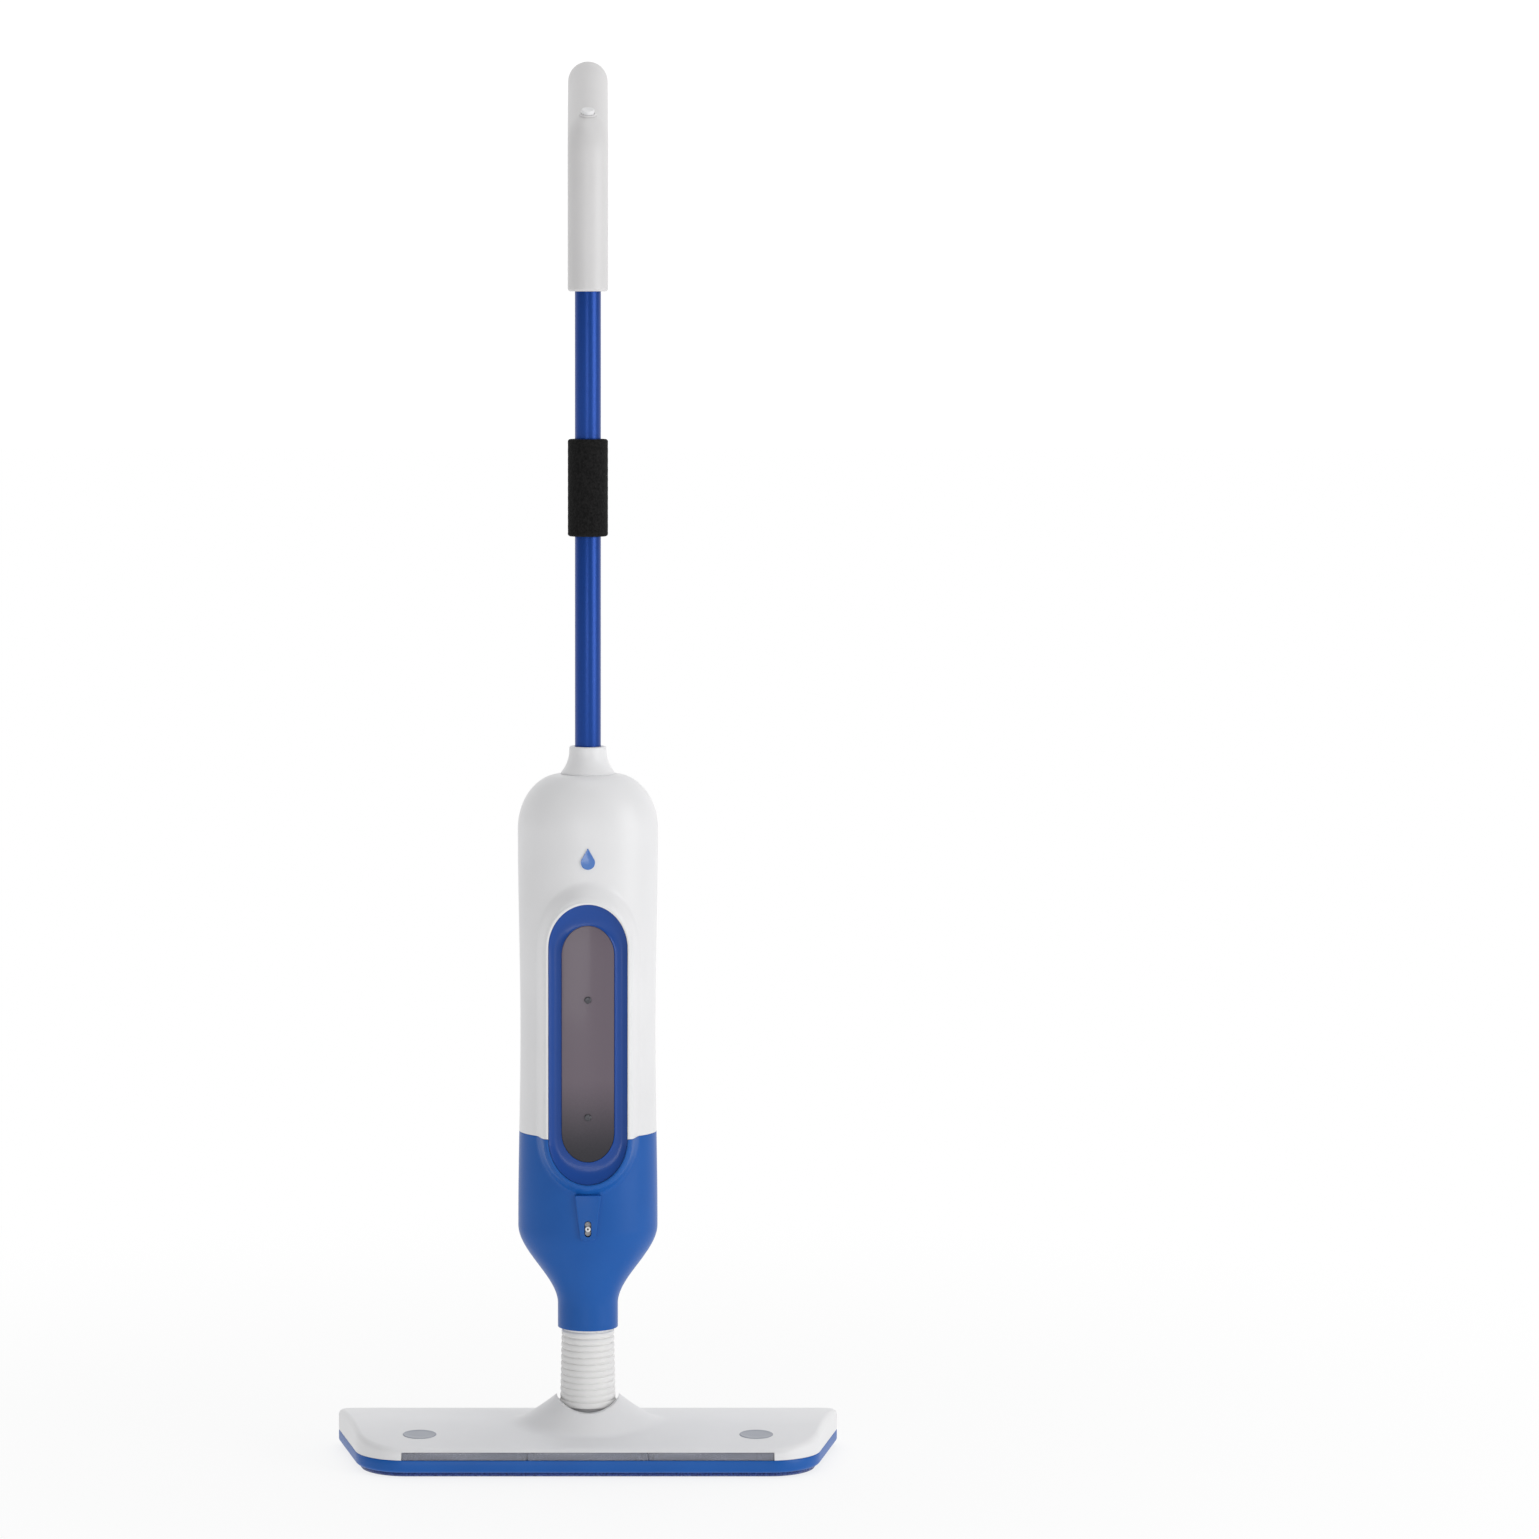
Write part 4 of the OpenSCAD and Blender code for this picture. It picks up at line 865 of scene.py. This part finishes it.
# ---- Upper body shells --------------------------------------------------------------------------
# The white half: tall front and rear shells that draw in to a dome under the pole's collar. The
# window's raised frame is part of the front one, and the rear one has the opening for the filler cap.
dome = [("dome", a) for a in range(3, 88, 3)] + [("dome", 89), ("end", 12 * mm)]
upper_levels = steps(body_seam + seam_gap, shoulder_z, 1.8 * mm) + dome
upper_front = shell("upper_front_casing", upper_levels, math.pi, 130, True)
cut(upper_front, prism("window_hole", window_hole, -80 * mm, 0, "XZ"))
upper_lip = window_lip("upper_lip", 0, 180)
join([upper_front, upper_lip], "upper_front_casing")
smooth_edges(upper_front, 32)
settle(upper_front, white_plastic, "mop", "white_shell", "upper_front_shell")

upper_rear = shell("upper_rear_casing", steps(body_seam + seam_gap, shoulder_z, 3 * mm) + dome, 0, 90, False)
cap_low, cap_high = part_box("filler_cap")
cap_z = (cap_low.z + cap_high.z) / 2
cap_r = (cap_high.z - cap_low.z) / 2
upper_screw_zs = [body_seam + 23 * mm, shoulder_z - 16 * mm]
cut(upper_rear, *screw_bores(upper_screw_zs),
    bore(0, cap_z, cap_r + 1 * mm, 10 * mm, 60 * mm, 72))
smooth_edges(upper_rear, 32)
settle(upper_rear, white_plastic, "mop", "white_shell", "upper_rear_shell")

# ---- Shell, handle and window screws ------------------------------------------------------------
# Pan-head screws with a cross recess, turned once and copied to each bore. Those in the window are
# in a darker copy of the steel that paints their shade, and the others are plain steel.


centre_r = 0.01 * mm      # a turned piece closes on this small circle at its axis


def cross_screw(name, r, head, shank_r, shank):
    """A screw with its head's face at z = 0, pointing down."""
    levels = [(centre_r, 0), (r * 0.62, 0), (r * 0.86, -head * 0.12), (r * 0.98, -head * 0.38),
              (r, -head * 0.62), (r * 0.96, -head), (shank_r, -head), (shank_r, -head - shank),
              (centre_r, -head - shank)]
    piece = turned(name, levels, 40)
    for turn in (0, math.pi / 2):
        arm = prism("recess", oblong(-r * 0.52, r * 0.52, -r * 0.13, r * 0.13), -head * 0.55, head)
        arm.data.transform(Matrix.Rotation(turn + 0.4, 4, "Z"))
        cut(piece, arm)
    return piece


def screw_row(name, original, places, outward):
    """Copies of the screw with their heads at the places, facing outward along Y."""
    copies = []
    for x, y, z in places:
        copy = original.copy()
        copy.data = original.data.copy()
        bpy.context.scene.collection.objects.link(copy)
        copy.data.transform(Matrix.Translation((x, y, z)) @ Matrix.Rotation(-outward * math.pi / 2, 4, "X"))
        copies.append(copy)
    row = join(copies, name)
    smooth_edges(row, 40)
    return row


shell_head = cross_screw("shell_head", 3.5 * mm, 2.5 * mm, 1.9 * mm, 12 * mm)
shell_screws = screw_row("shell_screw_row", shell_head,
                         [(s * screw_x, 20.5 * mm, z) for s in (-1, 1)
                          for z in upper_screw_zs + lower_screw_zs], 1)
settle(shell_screws, steel, "mop", "steel", "shell_screws")
bpy.data.objects.remove(shell_head)

# ---- Window bezel, panel and screws -------------------------------------------------------------
# A glossy deep-blue frame sinks in a shallow dish from the opening to a smoked panel, which two dark
# screws hold; their dark steel is painted shade. Painted shade also darkens the panel towards its foot.
panel_low, panel_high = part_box("window_panel")
panel_half = panel_high.x
bezel_gap = 0.3 * mm
arch_steps = 184


def arch_at(i, half, z0, z1, end):
    """A point of the window's outline by its place along it, evenly spread over sides and ends."""
    side, part = divmod(i % arch_steps, arch_steps // 4)
    u = part / (arch_steps // 4)
    if side == 0:
        a = math.pi * u
        return half * math.cos(a), z1 - end + end * math.sin(a)
    if side == 1:
        return -half, z1 - end + (z0 - z1 + 2 * end) * u
    if side == 2:
        a = math.pi * (1 + u)
        return half * math.cos(a), z0 + end + end * math.sin(a)
    return half, z0 + end + (z1 - z0 - 2 * end) * u


outer = (window_half - bezel_gap, window_low + bezel_gap, window_high - bezel_gap, window_end - bezel_gap)
inner_end = window_end * panel_half / window_half
inner = (panel_half + 0.15 * mm, panel_low.z - 0.15 * mm, panel_high.z + 0.15 * mm, inner_end)
panel_y = panel_low.y
dish = 1.5 * mm
bezel_shares = [0.0] + [0.03 + 0.9 * k / 16 for k in range(17)]


def bezel_point(i, j):
    xo, zo = arch_at(i, *outer)
    xi, zi = arch_at(i, *inner)
    edge_y = hood_y(xo) + 1.9 * mm
    if j < len(bezel_shares):
        t = bezel_shares[j]
        y = edge_y + (panel_y + 0.25 * mm - edge_y) * t + dish * math.sin(math.pi * min(1, t * 1.05))
        return (xo + (xi - xo) * t, y, zo + (zi - zo) * t)
    close = [(0.955, panel_y - 0.10 * mm), (0.985, panel_y - 0.16 * mm), (1.0, panel_y + 0.05 * mm),
             (1.0, panel_y + 4 * mm), (0.0, panel_y + 6 * mm), (0.0, edge_y)]
    t, y = close[j - len(bezel_shares)]
    return (xo + (xi - xo) * t, y, zo + (zi - zo) * t)


bezel = skin("window_frame", arch_steps, len(bezel_shares) + 5, bezel_point)
smooth_edges(bezel, 40)
deep_blue = moulded("deep_blue_gloss", (0.005, 0.052, 0.27), (0.007, 0.060, 0.30), gloss=0.3, depth=0.04,
                    coat=0.15, shine=0.25)
settle(bezel, deep_blue, "mop", "deep_blue", "window_bezel")


# The panel's foot colour is painted shade: the panel darkens to it towards its foot.
painted_shade_grey = (0.020, 0.019, 0.026)
smoke_grey = (0.132, 0.104, 0.130)


def smoked(name, z_foot, z_shade_top):
    """Smoked acrylic: glossy, with a fine speckle, and painted shade that darkens it towards its foot."""
    material, shader, where = blank(name)
    height = add(material, "ShaderNodeSeparateXYZ", {0: where}, "Z")
    # Painted shade: the colour darkens from this height down to the panel's foot.
    painted_shade = add(material, "ShaderNodeMapRange", {"Value": height, "From Min": z_foot, "From Max": z_shade_top},
               interpolation_type="SMOOTHSTEP")
    speckle_and_shade = add(material, "ShaderNodeMath", {0: noise(material, where, 900), 1: 0.16, 2: painted_shade},
                   operation="MULTIPLY_ADD")
    feed(material, shader, {"Base Color": tone(material, speckle_and_shade, painted_shade_grey, smoke_grey, 0.08),
                            "Roughness": 0.34, "Specular IOR Level": 0.3,
                            "Coat Weight": 0.15, "Coat Roughness": 0.08})
    return material


panel_outline = [arch_at(i, panel_half, panel_low.z, panel_high.z, inner_end) for i in range(arch_steps)]
panel = prism("smoked_window", panel_outline, panel_y, panel_high.y, "XZ")
round_edges(panel, 0.5 * mm, 3, 50)
smooth_edges(panel, 30)
settle(panel, smoked("smoked_acrylic", panel_low.z, panel_low.z + 85 * mm), "mop", "smoked", "window_panel")

window_head = cross_screw("window_head", 3.0 * mm, 1.2 * mm, 1.5 * mm, 3 * mm)
panel_h = panel_high.z - panel_low.z
window_screws = screw_row("window_screw_pair", window_head,
                          [(0, panel_y - 1.0 * mm, panel_low.z + panel_h * share)
                           for share in (0.19, 0.687)], -1)
# The window's screws get the darker steel, which paints their shade.
settle(window_screws, shaded_steel, "mop", "steel", "panel_screws")
bpy.data.objects.remove(window_head)

# ---- Emblem -------------------------------------------------------------------------------------
# A plain raised droplet, moulded in pale blue and pressed into the front of the body.
emblem_low, emblem_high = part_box("droplet_emblem")
drop_r = emblem_high.x
drop_z = emblem_low.z + drop_r
drop_side = [(drop_r * math.cos(math.pi / 6) * (1 - u), drop_z + drop_r * (0.5 + 1.5 * u))
             for u in (0.25, 0.5, 0.75)]
drop_side.append((0.25 * mm, drop_z + drop_r * 1.97))
drop_outline = corner((0, drop_z), drop_r, 150, 390, 28) + drop_side
drop_outline += [(-x, z) for x, z in reversed(drop_side)]
droplet = prism("droplet", drop_outline, emblem_low.y - 0.3 * mm, emblem_high.y, "XZ")
round_edges(droplet, 0.6 * mm, 4, 40)
smooth_edges(droplet, 35)
emblem_blue = moulded("emblem_blue", (0.05, 0.16, 0.48), (0.06, 0.19, 0.54), gloss=0.25, coat=0.5)
settle(droplet, emblem_blue, "mop", "badge", "droplet_emblem")

# ---- Nozzle -------------------------------------------------------------------------------------
# A small white spray tip in the tongue's slot, turned with a rounded lip and a fine bore.
tip_low, tip_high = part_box("spray_nozzle")
tip_r = tip_high.x
tip = turned("spray_tip", [(0.8 * mm, 0.0), (0.8 * mm, 5 * mm), (1.1 * mm, 5.6 * mm), (1.7 * mm, 5.6 * mm),
                           (tip_r, 5.0 * mm), (tip_r, 3.6 * mm), (tip_r * 0.9, 3.2 * mm), (tip_r, 2.8 * mm),
                           (tip_r, 0), (0.8 * mm, 0)], 48)
tip_seat = Vector((0, tip_low.y + 5.6 * mm, nozzle_z))
tip.data.transform(Matrix.Translation(tip_seat) @ Matrix.Rotation(math.pi / 2, 4, "X"))
smooth_edges(tip, 40)
settle(tip, white_plastic, "mop", "white_shell", "spray_nozzle")
dress(grey_nylon, "nozzle_holder")

# ---- Inside the body ----------------------------------------------------------------------------
# A nylon deck carries the blow-moulded tank above, and below it the pump, two lithium cells in
# their holder, the control board and the charging socket. Silicone hoses join tank, pump and nozzle.
dress(grey_nylon, "chassis_plate")
dress(clear("tank_blue", (0.45, 0.66, 0.90), 0.15, 0.7), "water_tank")
silicone = clear("silicone_hose", (0.66, 0.69, 0.72), 0.35, 0.4)
dress(silicone, "inlet_hose", "spray_hose")
dress(black_nylon, "pump_head", "battery_holder", "charge_socket", "microswitch", "switch_cable",
      "pole_coupler")
dress(steel, "pump_motor", "flap_pin")
dress(moulded("cell_sleeve", (0.03, 0.20, 0.09), (0.04, 0.25, 0.11), gloss=0.3), "battery_cells")
board_green = moulded("board_green", (0.01, 0.10, 0.04), (0.015, 0.13, 0.05), gloss=0.25, grain=0.8 * mm)
dress(board_green, "control_board")

# ---- Filler cap ---------------------------------------------------------------------------------
# A white quarter-turn cap in the back of the body. Its disc has a rounded edge and a grip rib, and a
# black seal sits behind it.
cap_face = body_deep + 3 * mm
disc_t = 4 * mm
filler_r = 12 * mm - 0.05 * mm
cap_edge = 1.2 * mm
spigot_end = -disc_t - 11.5 * mm
cap_levels = [(centre_r, 0), (cap_r - 4.5 * mm, 0), (cap_r - 3.9 * mm, -0.5 * mm), (cap_r - 3.2 * mm, 0)]
cap_levels += [(cap_r - cap_edge + cap_edge * math.sin(a), cap_edge * (math.cos(a) - 1)) for a in quarter]
cap_levels += [(cap_r, -disc_t + 0.4 * mm), (cap_r - 0.4 * mm, -disc_t), (filler_r, -disc_t),
               (filler_r, spigot_end + 1 * mm), (filler_r - 1 * mm, spigot_end), (centre_r, spigot_end)]
cap = turned("fill_cap", cap_levels, 96)
rib_half = cap_r - 6.5 * mm
rib_outline = corner((0, rib_half), 3 * mm, 0, 180, 10) + corner((0, -rib_half), 3 * mm, 180, 360, 10)
rib = prism("rib", rib_outline, -1 * mm, 4.9 * mm)
round_edges(rib, 1.2 * mm, 4)
join([cap, rib], "fill_cap")
cap.data.transform(Matrix.Translation((0, cap_face, cap_z)) @ Matrix.Rotation(-math.pi / 2, 4, "X"))
smooth_edges(cap, 40)
settle(cap, white_plastic, "cap", "white_shell", "filler_cap")
rubber_black = moulded("black_rubber", (0.012, 0.012, 0.012), (0.022, 0.022, 0.022), gloss=0.6)
dress(rubber_black, "cap_seal")

# ---- Charging flap ------------------------------------------------------------------------------
# A small hinged cover hangs from a steel pin over the charging socket. It has a rounded plate, a
# hinge barrel and a finger edge at its foot.
plate_top = flap_high.z - 5 * mm
flap_plate = prism("flap_plate", oblong(-10 * mm, 10 * mm, flap_low.z, plate_top + 2 * mm, 2.5 * mm),
                   flap_low.y, pin_y + 0.1 * mm, "XZ")
round_edges(flap_plate, 0.5 * mm, 3)
hinge_half = 7.9 * mm
hinge_r = 2 * mm
hinge_hole_r = 1.05 * mm
hinge_edge = 0.2 * mm
hinge = turned("hinge", [(hinge_hole_r, -hinge_half), (hinge_r - hinge_edge, -hinge_half),
                         (hinge_r, hinge_edge - hinge_half), (hinge_r, hinge_half - hinge_edge),
                         (hinge_r - hinge_edge, hinge_half), (hinge_hole_r, hinge_half),
                         (hinge_hole_r, -hinge_half)], 32)
hinge.data.transform(Matrix.Translation((0, pin_y, pin_z)) @ Matrix.Rotation(math.pi / 2, 4, "Y"))
web = prism("web", oblong(-hinge_half, hinge_half, plate_top - 2 * mm, pin_z - 1.2 * mm),
            body_deep + 1.8 * mm, pin_y + 0.6 * mm, "XZ")
round_edges(web, 0.3 * mm)
grip_bar = prism("grip_bar", oblong(-5 * mm, 5 * mm, flap_low.z + 1.5 * mm, flap_low.z + 2.7 * mm),
                 pin_y - 0.2 * mm, pin_y + 0.9 * mm, "XZ")
round_edges(grip_bar, 0.4 * mm)
flap = join([flap_plate, hinge, web, grip_bar], "charge_flap")
smooth_edges(flap, 40)
settle(flap, deep_blue, "flap", "deep_blue", "socket_flap")

# ---- Collar and pole ----------------------------------------------------------------------------
# A white flared collar finishes the top of the body. The pole is two lengths of steel tube in deep
# metallic blue, joined by a plug under the foam, and its foot stands in a socket in the body.
pole_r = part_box("pole_lower")[1].x
collar_top_r = pole_r + 4.8 * mm
collar_h = collar_high.z - collar_low.z
collar_hole = pole_r + 0.2 * mm
collar_levels = [(collar_hole, collar_low.z), (collar_r - 0.3 * mm, collar_low.z),
                 (collar_r, collar_low.z + 0.5 * mm)]
for k in range(25):
    u = k / 24
    r = collar_top_r + (collar_r - collar_top_r) * (1 - u) ** 2.4
    collar_levels.append((r, collar_low.z + 1.2 * mm + (collar_h - 2.4 * mm) * u))
collar_levels += [(collar_top_r - 0.4 * mm, collar_high.z - 0.3 * mm),
                  (collar_top_r - 1.2 * mm, collar_high.z), (pole_r + 0.9 * mm, collar_high.z),
                  (collar_hole, collar_high.z - 0.7 * mm), (collar_hole, collar_low.z)]
collar = turned("flared_collar", collar_levels)
smooth_edges(collar, 45)
settle(collar, white_plastic, "mop", "white_shell", "pole_collar")
dress(grey_nylon, "pole_socket")


def painted_tube(name, dark, light):
    """Metallic paint under clear lacquer: fine flakes, and a faint orange peel in the lacquer."""
    material, shader, where = blank(name)
    flakes = cells(material, where, 3200)
    peel = noise(material, where, 420)
    feed(material, shader, {"Base Color": tone(material, flakes, light, dark),
                            "Normal": bump(material, peel, 0.03, 0.2 * mm),
                            "Metallic": 0.5, "Roughness": 0.36, "Specular IOR Level": 0.3,
                            "Coat Weight": 0.08, "Coat Roughness": 0.2})
    return material


tube_paint = painted_tube("tube_paint", (0.002, 0.026, 0.17), (0.004, 0.064, 0.35))
tube_wall = 1.2 * mm
for node, name in (("pole_lower", "lower_tube"), ("pole_upper", "upper_tube")):
    low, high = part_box(node)
    tube = turned(name, rounded(pole_r - tube_wall, pole_r, low.z, high.z, 0.3 * mm, 3))
    smooth_edges(tube, 40)
    settle(tube, tube_paint, "mop", "blue_tube", node)

# ---- Foam sleeve --------------------------------------------------------------------------------
# A closed-cell foam grip pushed on to the tube. Its ends are cut square and rub round, and its skin
# is matt and finely pitted.
foam_low, foam_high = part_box("foam_sleeve")
foam_r = foam_high.x


foam_dark = (0.0045, 0.0045, 0.0045)
foam_light = (0.016, 0.0155, 0.0155)


def foamed(name):
    """Closed-cell foam: a matt skin with small pits of two sizes, which the same noise darkens as painted
    shade.
    """
    material, shader, where = blank(name)
    pits = noise(material, where, 500, 6)
    both = add(material, "ShaderNodeMath", {0: cells(material, where, 1500), 1: pits}, operation="ADD")
    # The pit noise also sets the colour: painted shade darkens the skin in its pits, with some random tone.
    feed(material, shader, {"Base Color": tone(material, pits, foam_dark, foam_light, 0.35, 0.75),
                            "Normal": bump(material, both, 0.55, 0.3 * mm),
                            "Roughness": 0.9, "Specular IOR Level": 0.15})
    return material


foam_edge = 2.2 * mm
foam_rings = 36
foam_wave = 0.12 * mm
foam_levels = corner((foam_r - foam_edge, foam_low.z + foam_edge), foam_edge, -90, 0, 8)
for k in range(1, foam_rings):
    z = foam_low.z + foam_edge + (foam_high.z - foam_low.z - 2 * foam_edge) * k / foam_rings
    foam_levels.append((foam_r - foam_wave * (1 + math.sin(k * 1.7)) * 0.5, z))
foam_levels += corner((foam_r - foam_edge, foam_high.z - foam_edge), foam_edge, 0, 90, 8)
foam_levels += [(pole_r + 0.15 * mm, foam_high.z), (pole_r + 0.15 * mm, foam_low.z), foam_levels[0]]
foam = turned("foam_grip", foam_levels)
smooth_edges(foam, 50)
settle(foam, foamed("foam_skin"), "mop", "foam", "foam_sleeve")

# ---- Handle -------------------------------------------------------------------------------------
# Two white shells meet at the sides of a round stem that bends back into a grip with a round end.
# Four small screws hold them round the tube, and a fine line shows where they meet.
handle_low, handle_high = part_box("handle_front_shell")
handle_r = handle_high.x
handle_z = handle_low.z
bend_z = handle_z + 115 * mm
bend_r = 20 * mm
grip_l = 112.5 * mm
grip_angle = math.radians(24.5)
lean = math.pi / 2 - grip_angle
bend_y = bend_r * (1 - math.cos(lean))
bend_top = bend_z + bend_r * math.sin(lean)
handle_wall = 2.8 * mm
edge_r = 2.5 * mm
handle_route = [(0, handle_z, 0, handle_r - edge_r)]
handle_route += [(0, handle_z + edge_r * (1 - math.cos(a)), 0, handle_r - edge_r + edge_r * math.sin(a))
                 for a in quarter[1:]]
handle_route += [(0, handle_z + edge_r + (bend_z - handle_z - edge_r) * k / 30, 0, handle_r)
                 for k in range(1, 31)]
handle_route += [(bend_r * (1 - math.cos(a)), bend_z + bend_r * math.sin(a), a, handle_r)
                 for a in [lean * k / 16 for k in range(1, 17)]]


def on_grip(along, r):
    """A point of the route at this distance along the grip."""
    return bend_y + along * math.cos(grip_angle), bend_top + along * math.sin(grip_angle), lean, r


handle_route += [on_grip(grip_l * k / 30, handle_r) for k in range(1, 31)]
handle_route += [on_grip(grip_l + handle_r * math.sin(b), handle_r * math.cos(b))
                 for b in [math.radians(6 * k) for k in range(1, 15)] + [math.radians(89)]]


def handle_shell(name, start):
    columns = 48

    def place(i, j):
        y, z, tip_back, r = handle_route[j]
        a = start + math.pi * i / columns
        reach = r * math.sin(a)
        return (r * math.cos(a), y + reach * math.cos(tip_back), z - reach * math.sin(tip_back))

    piece = skin(name, columns, len(handle_route) - 1, place)
    before = Vector((0, -1 if start else 1, handle_z + 0.05))
    middle = min(piece.data.polygons, key=lambda p: (p.center - before).length)
    thicken(piece, middle, start, handle_wall)
    round_edges(piece, 0.35 * mm, 2, 60)
    return piece


button_turn = Matrix.Translation((0, bend_y, bend_top)) @ Matrix.Rotation(grip_angle, 4, "X")
button_r = 5.5 * mm
ring_r = 7 * mm
# The handle's white is a darker copy of the white plastic: painted shade, so the handle looks less brightly
# lit.
shaded_handle_white = moulded("shaded_handle_white", (0.63, 0.622, 0.624), (0.66, 0.652, 0.654), gloss=0.4)
handle_front = handle_shell("front_handle_shell", math.pi)
hole_r = ring_r + 0.1 * mm
hole = turned("button_hole", [(centre_r, 5 * mm), (hole_r, 5 * mm), (hole_r, 30 * mm), (centre_r, 30 * mm)],
              64)
hole.data.transform(button_turn)
cut(handle_front, hole)
smooth_edges(handle_front, 35)
settle(handle_front, shaded_handle_white, "mop", "white_shell", "handle_front_shell")

handle_rear = handle_shell("rear_handle_shell", 0)
handle_screw_x = (pole_r + handle_r) / 2 - 0.4 * mm
handle_screw_zs = [handle_z + 18 * mm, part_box("pole_upper")[1].z - 22 * mm]
cut(handle_rear, *[bore(s * handle_screw_x, z, 2.1 * mm, 4 * mm, 30 * mm, 24)
                   for s in (-1, 1) for z in handle_screw_zs])
smooth_edges(handle_rear, 35)
settle(handle_rear, shaded_handle_white, "mop", "white_shell", "handle_rear_shell")

handle_head = cross_screw("handle_head", 2.0 * mm, 2.0 * mm, 1.2 * mm, 7 * mm)
handle_screws = screw_row("handle_screw_row", handle_head,
                          [(s * handle_screw_x, 6 * mm, z) for s in (-1, 1) for z in handle_screw_zs], 1)
settle(handle_screws, steel, "mop", "steel", "handle_screws")
bpy.data.objects.remove(handle_head)

# ---- Button -------------------------------------------------------------------------------------
# A thumb button at the knuckle of the handle, with a rounded rim and a slightly dished face, in a
# ring that clips into the front shell. A steel spring lifts it off its switch.
ring_section = rounded(button_r + 0.12 * mm, ring_r, handle_r - 5 * mm, handle_r + 0.8 * mm, 0.5 * mm)
ring = turned("button_ring", ring_section, 72)
ring.data.transform(button_turn)
smooth_edges(ring, 45)
settle(ring, shaded_handle_white, "mop", "white_shell", "button_bezel")
face = handle_r + 4 * mm
button_levels = [(centre_r, face - 0.5 * mm), (2 * mm, face - 0.42 * mm), (3.6 * mm, face - 0.15 * mm),
                 (4.4 * mm, face)]
button_levels += [(button_r - 0.8 * mm + 0.8 * mm * math.sin(a), face - 0.8 * mm + 0.8 * mm * math.cos(a))
                  for a in quarter[1:]]
flange_r = ring_r - 0.4 * mm
flange_z = handle_r - 7 * mm
button_levels += [(button_r, flange_z + 1.8 * mm), (flange_r, flange_z + 1.7 * mm), (flange_r, flange_z),
                  (centre_r, flange_z)]
button = turned("thumb_button", button_levels, 72)
button.data.transform(button_turn)
smooth_edges(button, 45)
settle(button, white_plastic, "button", "white_shell", "spray_button")
spring_foot = 3.2 * mm
spring_h = flange_z - 0.05 * mm - spring_foot
wire_r = 0.35 * mm


def spring_point(i, j):
    a = 2 * math.pi * 5 * i / 120
    r = wire_r if 0 < i < 120 else centre_r
    turn = 2 * math.pi * j / 8
    reach = 3.2 * mm + r * math.cos(turn)
    return button_turn @ Vector((reach * math.cos(a), reach * math.sin(a), spring_foot + wire_r
                                 + (spring_h - 2 * wire_r) * i / 120 + r * math.sin(turn)))


spring = skin("return_spring", 120, 8, spring_point)
smooth_edges(spring, 60)
spring.data.materials.append(steel)
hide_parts("button_spring")
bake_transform(spring)
